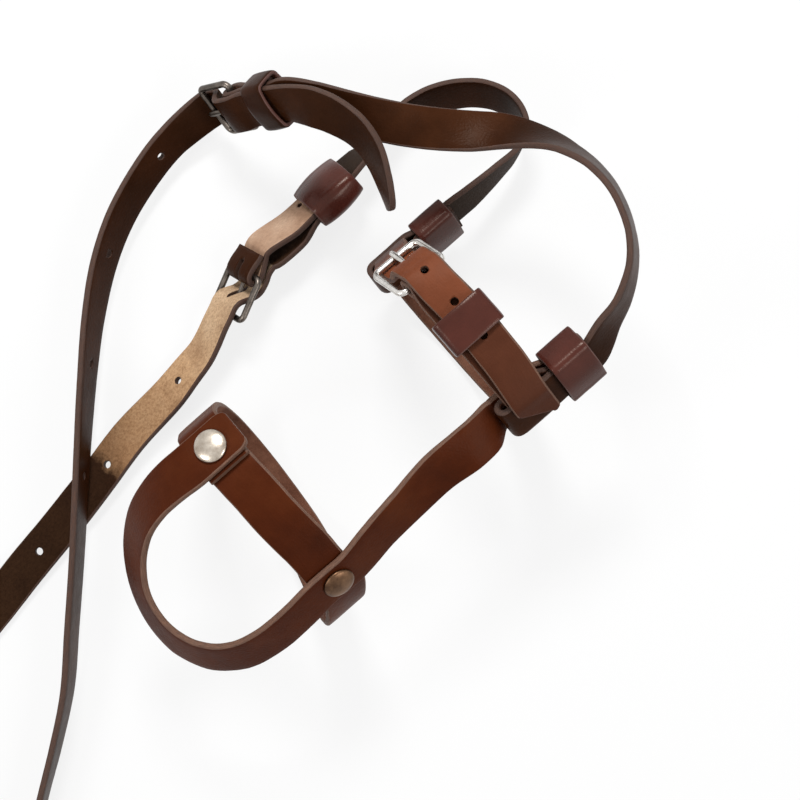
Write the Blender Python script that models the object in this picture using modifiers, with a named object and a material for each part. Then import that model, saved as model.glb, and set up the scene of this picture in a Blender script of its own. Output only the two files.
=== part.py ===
"""Leather crossbody cup holder lying on a table, one object for each separate piece. Metres, +Z up, +X to the mouth."""
import math

import bmesh
import bpy
from mathutils import Matrix, Vector

# Sizes in millimetres, scaled to metres when a mesh is made.
MM = 0.001

# The bottle that the holder is cut for, and the leather.
BOTTLE_R = 40.0
STRAP_T = 2.6
GAP = 0.3
KEEPER_T = 1.8
SIDE_CLEARANCE = 0.6

# Strap widths.
SHOULDER_W = 16.5
UPPER_W = 16.0
LOWER_W = 18.5
SLING_W = 18.0

# Buckles: one round wire bent to a frame, heel bar to outer bar on the wire's centre line.
WIRE_R = 1.35
FRAME_LENGTH = 18.3
FRAME_SIDE_CLEARANCE = 1.4
FRAME_CORNER_R = 2.5
TONGUE_R = 0.9
TONGUE_CLEARANCE = 0.15
SLOT_CLEARANCE = 0.45

# Rivets: domed cap, washer and pin.
CAP_R = 6.4
CAP_H = 2.7
WASHER_R = 5.2
WASHER_T = 1.2
PIN_R = 1.6
PIN_CLEARANCE = 0.2

# Punched holes.
HOLE_R = 1.6
BELT_HOLE_PITCH = 16.2
SHOULDER_HOLE_PITCH = 46.0
SHOULDER_HOLES_PER_END = 4

# Keepers: length along the strap.
BELT_KEEPER_LENGTH = 14.5
LOOP_KEEPER_LENGTH = 16.5
SHORT_KEEPER_LENGTH = 12.0
LONG_KEEPER_LENGTH = 22.0

# Length of the belt's slanted end, as a share of its width.
SLANT = 0.6

# Where the belts cross the bottle's length, from its base.
LOWER_X = 47.0
UPPER_X = 146.3

# The model's centre above the table, so that the frame's origin is under the middle of its box.
CENTRE_X = 19.72
CENTRE_Y = 46.2

# Values that follow from the sizes above.
UNIT = BOTTLE_R / 40.0
LAYER = STRAP_T + GAP
LIFT = STRAP_T + 0.4
AXIS_Z = BOTTLE_R + LIFT
FOLD_R = WIRE_R + 0.35 + STRAP_T / 2
EDGE_FOLD_R = LAYER
DENSE = 1.0
STEP = 4.6
TURN_STEP = math.radians(15.0)

CUTTERS = None


def material(name, colour, metallic, roughness):
    """One plain surface for one piece."""
    made = bpy.data.materials.new(name)
    made.use_nodes = True
    shader = made.node_tree.nodes["Principled BSDF"]
    shader.inputs["Base Color"].default_value = (*colour, 1.0)
    shader.inputs["Metallic"].default_value = metallic
    shader.inputs["Roughness"].default_value = roughness
    return made


LEATHER = (0.105, 0.042, 0.026)
KEEPER_LEATHER = (0.085, 0.030, 0.024)
NICKEL = (0.62, 0.60, 0.57)
AGED_BRASS = (0.20, 0.155, 0.11)
BLACKENED = (0.09, 0.075, 0.065)


def local_frame(origin, along, out):
    """Matrix with X along the strap, Z out of its grain side and the given origin."""
    x = along.normalized()
    z = (out - x * out.dot(x)).normalized()
    y = z.cross(x)
    matrix = Matrix((x, y, z)).transposed().to_4x4()
    matrix.translation = origin
    return matrix


def around(angle, extra, x):
    """Point at an angle from the bottle's top towards its right side, extra mm off its wall."""
    r = BOTTLE_R + extra
    a = math.radians(angle)
    return Vector((x, -r * math.sin(a), AXIS_Z + r * math.cos(a)))


def place(matrix, x, y, z):
    """Local point to a world point."""
    return matrix @ Vector((x, y, z))


def across(matrix, sign=1.0):
    """A local frame's width direction."""
    return matrix.to_3x3() @ Vector((0.0, sign, 0.0))


def new_object(name, mesh, surface, collection):
    """A mesh in a collection, with its surface."""
    made = bpy.data.objects.new(name, mesh)
    if surface is not None:
        mesh.materials.append(surface)
    collection.objects.link(made)
    return made


def mesh_from(name, verts, faces):
    """A mesh in metres from points in millimetres, less the model's centre."""
    centre = Vector((CENTRE_X, CENTRE_Y, 0.0))
    mesh = bpy.data.meshes.new(name)
    mesh.from_pydata([(Vector(v) - centre) * MM for v in verts], [], faces)
    mesh.update()
    return mesh


# Strap centre lines. Each entry is a point with either its width direction or the lean of its grain side.


def measured(x, y, z):
    """A point given in fortieths of the bottle's radius, so that the straps' free runs follow its size."""
    return Vector((x, y, z)) * UNIT


def leaning(x, y, z, lean):
    """A measured point of a run, with its grain side turned lean degrees from up to the left of travel."""
    return (measured(x, y, z), None, lean)


def fixed(point, width):
    """A point of a run with a known width direction."""
    return (point, width, None)


def tangents(points):
    """Non-uniform Catmull-Rom slopes and knots, so close and far points can follow each other."""
    knots = [0.0]
    for a, b in zip(points, points[1:]):
        knots.append(knots[-1] + math.sqrt(max((b - a).length, 1e-6)))
    slopes = []
    last = len(points) - 1
    for i in range(len(points)):
        if i == 0:
            slopes.append((points[1] - points[0]) / (knots[1] - knots[0]))
        elif i == last:
            slopes.append((points[last] - points[last - 1]) / (knots[last] - knots[last - 1]))
        else:
            before = (points[i] - points[i - 1]) / (knots[i] - knots[i - 1])
            after = (points[i + 1] - points[i]) / (knots[i + 1] - knots[i])
            span = knots[i + 1] - knots[i - 1]
            slopes.append((before * (knots[i + 1] - knots[i]) + after * (knots[i] - knots[i - 1])) / span)
    return knots, slopes


class Run:
    """A strap's centre line: closely spaced points with the width direction at each."""

    def __init__(self, controls):
        points = [c[0] for c in controls]
        knots, slopes = tangents(points)
        widths = []
        for (point, width, lean), slope in zip(controls, slopes):
            ahead = slope.normalized()
            if width is None:
                left = Vector((0, 0, 1)).cross(ahead).normalized()
                up = ahead.cross(left)
                a = math.radians(lean)
                width = left * math.cos(a) - up * math.sin(a)
            width = width - ahead * width.dot(ahead)
            widths.append(width.normalized())
        self.points = []
        self.widths = []
        self.marks = []
        for i in range(len(points) - 1):
            span = knots[i + 1] - knots[i]
            count = max(2, math.ceil((points[i + 1] - points[i]).length / DENSE))
            self.marks.append(len(self.points))
            for j in range(count):
                t = j / count
                a = (2 * t ** 3 - 3 * t ** 2 + 1)
                b = (t ** 3 - 2 * t ** 2 + t) * span
                c = (-2 * t ** 3 + 3 * t ** 2)
                d = (t ** 3 - t ** 2) * span
                self.points.append(points[i] * a + slopes[i] * b + points[i + 1] * c + slopes[i + 1] * d)
                self.widths.append(widths[i].lerp(widths[i + 1], t))
        self.marks.append(len(self.points))
        self.points.append(points[-1].copy())
        self.widths.append(widths[-1].copy())
        self.length_at = [0.0]
        for a, b in zip(self.points, self.points[1:]):
            self.length_at.append(self.length_at[-1] + (b - a).length)
        self.length = self.length_at[-1]
        self.ahead = []
        last = len(self.points) - 1
        for i in range(len(self.points)):
            step = self.points[min(i + 1, last)] - self.points[max(i - 1, 0)]
            self.ahead.append(step.normalized())
        for i, ahead in enumerate(self.ahead):
            width = self.widths[i] - ahead * self.widths[i].dot(ahead)
            self.widths[i] = width.normalized()

    def at(self, s):
        """Centre, direction and width direction at a length along the run."""
        s = min(max(s, 0.0), self.length)
        i = 0
        while i < len(self.length_at) - 2 and self.length_at[i + 1] < s:
            i += 1
        t = (s - self.length_at[i]) / (self.length_at[i + 1] - self.length_at[i])
        point = self.points[i].lerp(self.points[i + 1], t)
        ahead = self.ahead[i].lerp(self.ahead[i + 1], t).normalized()
        width = self.widths[i].lerp(self.widths[i + 1], t)
        width = (width - ahead * width.dot(ahead)).normalized()
        return point, ahead, width

    def frame(self, s):
        """Local frame at a length along the run: X ahead, Z out of the grain side."""
        point, ahead, width = self.at(s)
        return local_frame(point, ahead, ahead.cross(width))

    def nearest(self, target):
        """Length along the run of the point nearest to a target."""
        best = min(range(len(self.points)), key=lambda i: (self.points[i] - target).length)
        return self.length_at[best]

    def stations(self, extra):
        """Lengths at which the strap gets a cross section: even steps, closer on bends and twists."""
        chosen = [0.0]
        turned = 0.0
        for i in range(1, len(self.points) - 1):
            turned += self.ahead[i].angle(self.ahead[i - 1], 0.0)
            turned += 0.7 * self.widths[i].angle(self.widths[i - 1], 0.0)
            if self.length_at[i] - chosen[-1] >= STEP or turned >= TURN_STEP:
                chosen.append(self.length_at[i])
                turned = 0.0
        chosen.append(self.length)
        merged = sorted(set(round(s, 3) for s in chosen + extra if 0.0 <= s <= self.length))
        kept = [merged[0]]
        for s in merged[1:]:
            if s - kept[-1] > 0.35 or s == merged[-1]:
                kept.append(s)
        return kept


def tip_factor(kind, distance, width):
    """Share of a strap's half width left at a distance from its end."""
    distance = max(distance, 0.0)
    if kind == "slant":
        return 1.0 if distance >= 1.6 else 0.86 + 0.14 * math.sqrt(1.0 - (1.0 - distance / 1.6) ** 2)
    if kind == "round":
        r = 0.5 * width
        return 1.0 if distance >= r else max(0.22, math.sqrt(1.0 - (1.0 - distance / r) ** 2))
    if kind == "blunt":
        r = 0.28 * width
        return 1.0 if distance >= r else 0.72 + 0.28 * math.sqrt(1.0 - (1.0 - distance / r) ** 2)
    return 1.0


def slant_factor(kind, distance, width):
    """The same share for the shorter side of a slanted end, where it passes the middle and turns negative."""
    reach = SLANT * width
    if kind != "slant" or distance >= reach:
        return 1.0
    return -0.62 + 1.62 * max(distance, 0.0) / reach


def tip_stations(kind, width):
    """Distances from an end that draw its outline."""
    if kind == "round":
        return [0.5 * width * (1.0 - math.cos(math.radians(a))) for a in (18, 36, 54, 72, 90)]
    if kind == "blunt":
        return [0.28 * width * k for k in (0.12, 0.4, 1.0)]
    if kind == "slant":
        return [SLANT * width * k for k in (0.06, 0.12, 0.35, 0.68, 1.0)]
    return []


def strap(name, run, width, surface, collection, tips=("square", "square")):
    """A leather strap along a run: one sheet of quads given its thickness by Solidify."""
    extra = tip_stations(tips[0], width) + [run.length - d for d in tip_stations(tips[1], width)]
    verts = []
    faces = []
    for s in run.stations(extra):
        point, ahead, side = run.at(s)
        half = 0.5 * width * min(tip_factor(tips[0], s, width), tip_factor(tips[1], run.length - s, width))
        verts.append(point + side * half)
        verts.append(point - side * half * slant_factor(tips[1], run.length - s, width))
    for i in range(len(verts) // 2 - 1):
        faces.append((2 * i, 2 * i + 1, 2 * i + 3, 2 * i + 2))
    made = new_object(name, mesh_from(name, verts, faces), surface, collection)
    thick = made.modifiers.new("thickness", "SOLIDIFY")
    thick.thickness = STRAP_T * MM
    thick.offset = 0.0
    thick.use_even_offset = True
    return made


def punch(made, name, tools):
    """Cut holes and slots in one strap. Each tool is a frame with its radii, height and shape."""
    if not tools:
        return
    shape = bmesh.new()
    for matrix, half_x, half_y, half_z, round_tool in tools:
        moved = matrix.copy()
        moved.translation = (matrix.translation - Vector((CENTRE_X, CENTRE_Y, 0.0))) * MM
        if round_tool:
            scale = Matrix.Diagonal((half_x * MM, half_y * MM, 2.0 * half_z * MM, 1.0))
            bmesh.ops.create_cone(shape, cap_ends=True, segments=14, radius1=1.0, radius2=1.0, depth=1.0,
                                  matrix=moved @ scale)
        else:
            scale = Matrix.Diagonal((2.0 * half_x * MM, 2.0 * half_y * MM, 2.0 * half_z * MM, 1.0))
            bmesh.ops.create_cube(shape, size=1.0, matrix=moved @ scale)
    bmesh.ops.recalc_face_normals(shape, faces=shape.faces)
    mesh = bpy.data.meshes.new(name)
    shape.to_mesh(mesh)
    shape.free()
    cutter = new_object(name, mesh, None, CUTTERS)
    cutter.hide_render = True
    cutter.display_type = "WIRE"
    cut = made.modifiers.new("holes", "BOOLEAN")
    cut.operation = "DIFFERENCE"
    cut.solver = "EXACT"
    cut.object = cutter


def moved_frame(matrix, x, y, z):
    """A local frame shifted within itself."""
    shifted = matrix.copy()
    shifted.translation = matrix @ Vector((x, y, z))
    return shifted


def keeper(name, matrix, low, high, inner_width, length, surface, collection):
    """A closed leather loop round the layers between two heights of a local frame."""
    half_w = inner_width / 2 + KEEPER_T / 2
    bottom = low - KEEPER_T / 2
    top = high + KEEPER_T / 2
    r = KEEPER_T
    corners = [(half_w - r, top - r, 0), (-half_w + r, top - r, 90), (-half_w + r, bottom + r, 180),
               (half_w - r, bottom + r, 270)]
    ring = []
    for cy, cz, start in corners:
        for k in range(5):
            a = math.radians(start + 22.5 * k)
            ring.append((cy + r * math.cos(a), cz + r * math.sin(a)))
    verts = []
    for x in (-length / 2, length / 2):
        for y, z in ring:
            verts.append(place(matrix, x, y, z))
    n = len(ring)
    faces = [(i, (i + 1) % n, n + (i + 1) % n, n + i) for i in range(n)]
    made = new_object(name, mesh_from(name, verts, faces), surface, collection)
    thick = made.modifiers.new("thickness", "SOLIDIFY")
    thick.thickness = KEEPER_T * MM
    thick.offset = 0.0
    thick.use_even_offset = True
    return made


def wire(name, path, radius, cyclic, sides, surface, collection, taper=None):
    """A bent wire: a bevelled curve turned into a mesh."""
    curve = bpy.data.curves.new(name, "CURVE")
    curve.dimensions = "3D"
    curve.bevel_depth = radius * MM
    curve.bevel_resolution = sides
    curve.use_fill_caps = not cyclic
    spline = curve.splines.new("POLY")
    spline.points.add(len(path) - 1)
    centre = Vector((CENTRE_X, CENTRE_Y, 0.0))
    for i, (node, point) in enumerate(zip(spline.points, path)):
        node.co = (*((point - centre) * MM), 1.0)
        node.radius = 1.0 if taper is None else taper[i]
    spline.use_cyclic_u = cyclic
    holder = bpy.data.objects.new(name + "_curve", curve)
    collection.objects.link(holder)
    depsgraph = bpy.context.evaluated_depsgraph_get()
    mesh = bpy.data.meshes.new_from_object(holder.evaluated_get(depsgraph))
    bpy.data.objects.remove(holder)
    shape = bmesh.new()
    shape.from_mesh(mesh)
    bmesh.ops.remove_doubles(shape, verts=shape.verts, dist=0.00001)
    bmesh.ops.recalc_face_normals(shape, faces=shape.faces)
    shape.to_mesh(mesh)
    shape.free()
    mesh.materials.clear()
    return new_object(name, mesh, surface, collection)


def buckle_frame(name, matrix, strap_width, surface, collection):
    """Rectangular frame with rounded corners; its heel bar lies on the local Y axis."""
    half = strap_width / 2 + FRAME_SIDE_CLEARANCE + WIRE_R
    r = FRAME_CORNER_R
    corners = [(FRAME_LENGTH - r, half - r, 0), (r, half - r, 90), (r, -half + r, 180),
               (FRAME_LENGTH - r, -half + r, 270)]
    path = []
    for cx, cy, start in corners:
        for k in range(6):
            a = math.radians(start + 18.0 * k)
            path.append(place(matrix, cx + r * math.cos(a), cy + r * math.sin(a), 0.0))
    return wire(name, path, WIRE_R, True, 2, surface, collection)


def buckle_tongue(name, matrix, surface, collection):
    """Pin of a buckle: a loop round the heel bar, then a rod that rests on the outer bar."""
    loop = WIRE_R + TONGUE_CLEARANCE + TONGUE_R
    path = []
    for k in range(13):
        a = math.radians(-20.0 - 25.0 * k)
        path.append(place(matrix, loop * math.cos(a), 0.0, loop * math.sin(a)))
    rest = WIRE_R + TONGUE_R + 0.05
    for x, z in ((3.6, 1.35), (7.0, 1.45), (11.0, 1.75), (15.0, rest - 0.15), (FRAME_LENGTH, rest),
                 (FRAME_LENGTH + 1.7, rest - 0.1)):
        path.append(place(matrix, x, 0.0, z))
    taper = [1.0] * 16 + [0.92, 0.88, 0.7]
    return wire(name, path, TONGUE_R, False, 1, surface, collection, taper)


def chape(matrix, sign, tail, rise):
    """Fold of a strap round a heel bar: outer layer towards the bar, round it, and the folded end."""
    w = across(matrix, sign)
    end = across(matrix, sign)
    r = FOLD_R
    out = [(-12.0, rise), (-7.5, rise + 0.25), (-3.2, r - 0.2), (0.0, r)]
    bend = [(r * math.sin(math.radians(a)), r * math.cos(math.radians(a))) for a in (30, 60, 90, 120, 150)]
    back = [(0.0, -r), (-3.2, -r + 0.2), (-7.5, rise - LAYER - 0.25)] + [(x, rise - LAYER) for x in tail]
    points = [fixed(place(matrix, x, 0.0, z), w) for x, z in out + bend]
    return points + [fixed(place(matrix, x, 0.0, z), end) for x, z in back]


BILLET_PATH = [(23.0, -3.3), (FRAME_LENGTH, -3.05), (14.8, -3.0), (12.2, -2.0), (10.2, 0.4), (8.2, 3.4), (5.6, 5.5),
               (2.6, 6.35), (0.0, 6.4), (-3.4, 6.1)]
TONGUE_SLOT_X = 8.7
TONGUE_SLOT_HALF = 3.5


def billet(matrix, sign, points=BILLET_PATH):
    """Free end of a strap: in under the outer bar, up over the heel bar and its fold."""
    w = across(matrix, sign)
    return [fixed(place(matrix, x, 0.0, z), w) for x, z in points]


def billet_slot(matrix):
    """The punched hole that the tongue goes through, stretched along the strap."""
    return (moved_frame(matrix, TONGUE_SLOT_X, 0.0, 1.6), TONGUE_SLOT_HALF, TONGUE_R + SLOT_CLEARANCE, 5.2, True)


def fold_slot(matrix):
    """The slot in the fold that the tongue's loop works in, tilted clear of the strap that lies over it."""
    tilted = moved_frame(matrix, 0.2, 0.0, 0.0) @ Matrix.Rotation(math.radians(6.0), 4, "Y")
    return (tilted, 4.3, TONGUE_R + SLOT_CLEARANCE, 4.6, False)


def edge_fold(matrix, edge, sign, tail, wide_at):
    """A strap's end looped round another strap's edge: inner layer, fold, outer layer."""
    w = across(matrix, sign)
    inner, outer = wide_at
    r = EDGE_FOLD_R
    flat = [(tail, inner), (22.0, inner), (14.4, inner), (12.4, inner - 0.05), (10.4, (inner - r) / 2), (8.4, -r),
            (0.0, -r), (edge * 0.7, -r), (edge, -r)]
    bend = [(edge - r * math.sin(math.radians(a)), -r * math.cos(math.radians(a))) for a in (30, 60, 90, 120, 150)]
    back = [(edge, r), (edge * 0.7, r), (0.0, r), (8.6, r), (10.9, (outer + r) / 2), (13.2, outer), (15.0, outer),
            (22.0, outer), (tail, outer)]
    return [fixed(place(matrix, x, 0.0, z), w) for x, z in flat + bend + back]


def turned(name, profile, matrix, steps, surface, collection):
    """A round piece from half its outline, turned about a local frame's Z axis by Screw."""
    mesh = bpy.data.meshes.new(name)
    verts = [(r * MM, 0.0, z * MM) for r, z in profile]
    mesh.from_pydata(verts, [(i, i + 1) for i in range(len(verts) - 1)], [])
    made = new_object(name, mesh, surface, collection)
    moved = matrix.copy()
    moved.translation = (matrix.translation - Vector((CENTRE_X, CENTRE_Y, 0.0))) * MM
    made.matrix_world = moved
    screw = made.modifiers.new("turn", "SCREW")
    screw.axis = "Z"
    screw.steps = steps
    screw.render_steps = steps
    screw.use_merge_vertices = True
    screw.merge_threshold = 0.00001
    screw.use_normal_calculate = True
    return made


def rivet(label, matrix, cap_at, washer_at, collection):
    """Domed cap over a strap and a washer with its pin behind the layers."""
    bore = PIN_R + 0.1
    rim = 0.7
    dome = [(CAP_R * math.cos(math.radians(a)), rim + (CAP_H - rim) * math.sin(math.radians(a)))
            for a in (0, 18, 36, 54, 72)]
    cap = [(0.0, 1.3), (bore, 1.3), (bore, 0.0), (CAP_R - 0.5, 0.0)] + dome + [(0.0, CAP_H)]
    turned("rivet_cap_" + label, cap, moved_frame(matrix, 0, 0, cap_at), 28,
           material("rivet_cap_" + label, AGED_BRASS, 0.9, 0.38), collection)
    top = cap_at + 1.15
    post = [(0.0, washer_at - WASHER_T), (WASHER_R - 0.3, washer_at - WASHER_T), (WASHER_R, washer_at - WASHER_T + 0.3),
            (WASHER_R, washer_at), (PIN_R, washer_at), (PIN_R, top), (0.0, top)]
    turned("rivet_washer_" + label, list(reversed(post)), matrix, 28,
           material("rivet_washer_" + label, AGED_BRASS, 0.9, 0.42), collection)


def build():
    """Clear the scene and build every piece."""
    global CUTTERS
    for old in list(bpy.data.objects):
        bpy.data.objects.remove(old, do_unlink=True)
    body = bpy.data.collections.new("crossbody_cup_holder")
    bpy.context.scene.collection.children.link(body)
    CUTTERS = bpy.data.collections.new("cutters")
    CUTTERS.hide_render = True
    bpy.context.scene.collection.children.link(CUTTERS)

    x_axis = Vector((1, 0, 0))

    # Local frames: the two rivets, the two places where the shoulder straps loop round the upper belt, the buckles.
    lean_left = math.radians(20.0)
    out_left = Vector((0, math.sin(lean_left), math.cos(lean_left)))
    left_rivet = local_frame(around(-36.9, 8.4, LOWER_X - 0.8), -x_axis, out_left)
    lean_right = math.radians(49.0)
    out_right = Vector((0, -math.sin(lean_right), math.cos(lean_right)))
    right_rivet = local_frame(around(50.4, 5.2, LOWER_X + 0.3), x_axis, out_right)

    right_angle = 46.5
    a = math.radians(right_angle)
    right_loop = local_frame(around(right_angle, 7.6, UPPER_X), x_axis, Vector((0, -math.sin(a), math.cos(a))))
    left_angle = 243.0
    a = math.radians(left_angle)
    left_loop = local_frame(around(left_angle, 5.4, UPPER_X), x_axis, Vector((0, -math.sin(a), math.cos(a))))

    belt_buckle = local_frame(around(-36.6, 5.6, UPPER_X + 0.7), Vector((-0.14, 0.70, -0.70)),
                              Vector((0.15, 0.715, 0.683)))

    right_buckle = local_frame(measured(140.6, 128.2, 33.5), Vector((-0.501, 0.425, -0.754)),
                               Vector((-0.852, -0.204, 0.48)))
    left_buckle = local_frame(measured(97.0, 79.4, 12.8), Vector((-0.901, -0.4165, -0.10)), Vector((0.24, -0.69, -0.68)))

    # Lower belt: a ring that laps under the left rivet.
    slide = lambda m, u, h: fixed(place(m, 0.0, u, h), x_axis)
    ring = [slide(left_rivet, u, 0.0) for u in (-6.8, -3.4, 0.0, 4.0)]
    ring += [fixed(around(*p), x_axis) for p in ((-22.0, 6.0, LOWER_X - 0.4), (-10.0, 4.3, LOWER_X), (2.0, 3.6, LOWER_X),
                                                 (15.0, 3.6, LOWER_X + 0.3), (28.0, 4.2, LOWER_X + 0.7))]
    ring += [slide(right_rivet, -u, 0.0) for u in (-8.0, -4.0, 0.0, 4.0, 8.0)]
    ring += [fixed(around(*p), x_axis) for p in ((73.0, 7.4, LOWER_X - 3.1), (88.0, 9.0, LOWER_X - 7.3),
                                                 (108.0, 8.9, LOWER_X - 9.6), (130.0, 6.4, LOWER_X - 8.4),
                                                 (152.0, 3.2, LOWER_X - 4.6))]
    ring += [fixed(around(180.0, LIFT - STRAP_T / 2, LOWER_X - 2.4), x_axis)]
    ring += [fixed(around(*p), x_axis) for p in ((207.0, 3.2, LOWER_X - 0.8), (229.0, 4.8, LOWER_X), (251.0, 4.3, LOWER_X),
                                                 (271.0, 4.0, LOWER_X - 0.3), (289.0, 6.0, LOWER_X - 0.6),
                                                 (303.0, 10.0, LOWER_X - 0.8))]
    ring += [slide(left_rivet, u, h) for u, h in ((-10.5, LAYER - 0.7), (-5.2, LAYER), (0.0, LAYER), (4.0, LAYER),
                                                 (10.0, LAYER))]
    lower_run = Run(ring)
    leather = lambda name, colour=LEATHER: material(name, colour, 0.0, 0.36)
    made = strap("lower_belt", lower_run, LOWER_W, leather("lower_belt"), body)
    hole = PIN_R + PIN_CLEARANCE
    punch(made, "cut_lower_belt", [(left_rivet, hole, hole, 9.0, True), (right_rivet, hole, hole, 6.0, True)])

    # Sling: from the tab at the left rivet round the bottle's base, over the right rivet, up inside the upper belt.
    w = across(left_rivet)
    tab = [fixed(place(left_rivet, u, 0.0, 2 * LAYER), w) for u in (-11.8, -5.5, 0.0, 5.0, 10.6)]
    base = [leaning(*p) for p in ((26.0, 31.6, 84.6, -25), (16.5, 31.2, 80.0, -35), (5.9, 28.4, 73.5, -47),
                                  (-5.2, 20.6, 65.5, -58), (-13.2, 9.6, 60.0, -65), (-17.0, -3.0, 57.5, -65),
                                  (-16.4, -15.6, 57.5, -60), (-10.8, -27.0, 59.5, -54), (-1.0, -34.6, 63.0, -50),
                                  (12.0, -37.8, 67.5, -49), (26.0, -38.0, 71.5, -49))]
    w = across(right_rivet)
    leg = [fixed(place(right_rivet, u, 0.0, LAYER), w) for u in (-8.0, 0.0, 8.0)]
    leg += [leaning(*p) for p in ((71.0, -34.6, 75.0, -47), (86.0, -33.2, 75.6, -41), (103.0, -31.8, 76.2, -29),
                                  (117.0, -32.6, 76.8, -16), (126.0, -32.4, 75.2, -22))]
    w = across(right_loop)
    inner = -2 * LAYER
    sling_rest = -3.1
    leg += [fixed(place(right_loop, x, 0.0, z), w)
            for x, z in ((-12.6, inner), (-6.0, inner), (0.0, inner), (9.0, inner), (11.0, inner + 0.9),
                         (13.0, inner + 2.0), (15.3, sling_rest), (22.0, sling_rest), (30.5, sling_rest))]
    sling_run = Run(tab + base + leg)
    made = strap("sling_strap", sling_run, SLING_W, leather("sling_strap"), body, ("blunt", "blunt"))
    punch(made, "cut_sling_strap", [(moved_frame(left_rivet, 0, 0, 2 * LAYER), hole, hole, 3.0, True),
                                    (moved_frame(right_rivet, 0, 0, LAYER), hole, hole, 3.0, True)])
    rivet("left", left_rivet, 2 * LAYER + STRAP_T / 2 + 0.15, -STRAP_T / 2 - 0.1, body)
    rivet("right", right_rivet, LAYER + STRAP_T / 2 + 0.1, -STRAP_T / 2 - 0.1, body)

    # Upper belt: folded round its buckle, round the bottle, back through the buckle and along itself.
    w = across(belt_buckle, -1.0)
    r = FOLD_R
    belt = [fixed(around(*p), x_axis) for p in ((-19.0, 1.75, UPPER_X + 0.45), (-24.0, 1.8, UPPER_X + 0.5))]
    fold = [(r * math.sin(math.radians(t)), -r * math.cos(math.radians(t))) for t in (0, 30, 60, 90, 120, 150, 180)]
    belt += [fixed(place(belt_buckle, x, 0.0, z), w) for x, z in [(-3.4, -r + 0.1)] + fold + [(-3.4, r - 0.15)]]
    belt += [fixed(around(*p), x_axis) for p in ((-23.5, 6.5, UPPER_X + 0.5), (-17.0, 5.3, UPPER_X + 0.4),
                                                 (-10.0, 4.75, UPPER_X + 0.3), (-3.0, 4.6, UPPER_X + 0.2),
                                                 (5.0, 4.7, UPPER_X + 0.1), (13.0, 5.1, UPPER_X),
                                                 (21.5, 6.3, UPPER_X))]
    belt += [fixed(place(right_loop, 0.0, -u, 0.0), x_axis) for u in (-10.0, -5.0, 0.0, 5.0, 10.0)]
    belt += [fixed(around(*p), x_axis) for p in ((64.0, 6.3, UPPER_X), (74.0, 4.4, UPPER_X), (87.0, 3.0, UPPER_X),
                                                 (106.0, 2.2, UPPER_X), (130.0, 1.9, UPPER_X), (156.0, 1.8, UPPER_X))]
    belt += [fixed(around(180.0, LIFT - STRAP_T / 2, UPPER_X), x_axis)]
    belt += [fixed(around(*p), x_axis) for p in ((200.0, 1.9, UPPER_X), (214.0, 2.8, UPPER_X), (223.0, 4.4, UPPER_X))]
    belt += [fixed(place(left_loop, 0.0, -u, 0.0), x_axis) for u in (-9.5, -4.7, 0.0, 4.7, 9.5)]
    belt += [fixed(around(*p), x_axis) for p in ((263.0, 4.4, UPPER_X - 0.5), (273.0, 2.9, UPPER_X - 1.5),
                                                 (282.0, 2.3, UPPER_X - 2.6))]
    belt += billet(belt_buckle, -1.0, [(23.5, -4.6)] + BILLET_PATH[1:-1] + [(-3.4, 6.8)])
    belt += [fixed(around(*p), x_axis) for p in ((-23.5, 10.3, UPPER_X + 2.4), (-17.0, 8.7, UPPER_X + 2.8),
                                                 (-10.0, 7.9, UPPER_X + 3.0), (-3.0, 7.6, UPPER_X + 2.9),
                                                 (5.0, 7.8, UPPER_X + 2.7), (13.0, 8.7, UPPER_X + 2.4),
                                                 (21.5, 10.7, UPPER_X + 2.0))]
    over = 2 * LAYER + 0.4
    belt += [fixed(place(right_loop, 0.4, -u, over), x_axis) for u in (-8.8, -4.4, 0.0, 5.2)]
    upper_run = Run(belt)
    made = strap("upper_belt", upper_run, UPPER_W, leather("upper_belt"), body, ("square", "slant"))
    in_use = upper_run.nearest(place(belt_buckle, TONGUE_SLOT_X, 0.0, 1.6))
    punch(made, "cut_upper_belt_slots", [billet_slot(belt_buckle), fold_slot(belt_buckle)])
    tools = [(upper_run.frame(in_use + BELT_HOLE_PITCH * k), HOLE_R, HOLE_R, 1.7, True) for k in (1, 2, 3)]
    punch(made, "cut_upper_belt_holes", tools)
    buckle_frame("upper_buckle_frame", belt_buckle, UPPER_W, material("upper_buckle_frame", NICKEL, 1.0, 0.22), body)
    buckle_tongue("upper_buckle_tongue", belt_buckle, material("upper_buckle_tongue", NICKEL, 1.0, 0.25), body)
    middle = local_frame(around(-4.0, 4.6, UPPER_X + 1.6), Vector((0, -1, 0)), Vector((0, 0.07, 1)))
    keeper("upper_belt_keeper", middle, -STRAP_T / 2 - 1.2, LAYER + STRAP_T / 2 + 0.5, UPPER_W + 3.6, BELT_KEEPER_LENGTH,
           leather("upper_belt_keeper", KEEPER_LEATHER), body)

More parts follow.
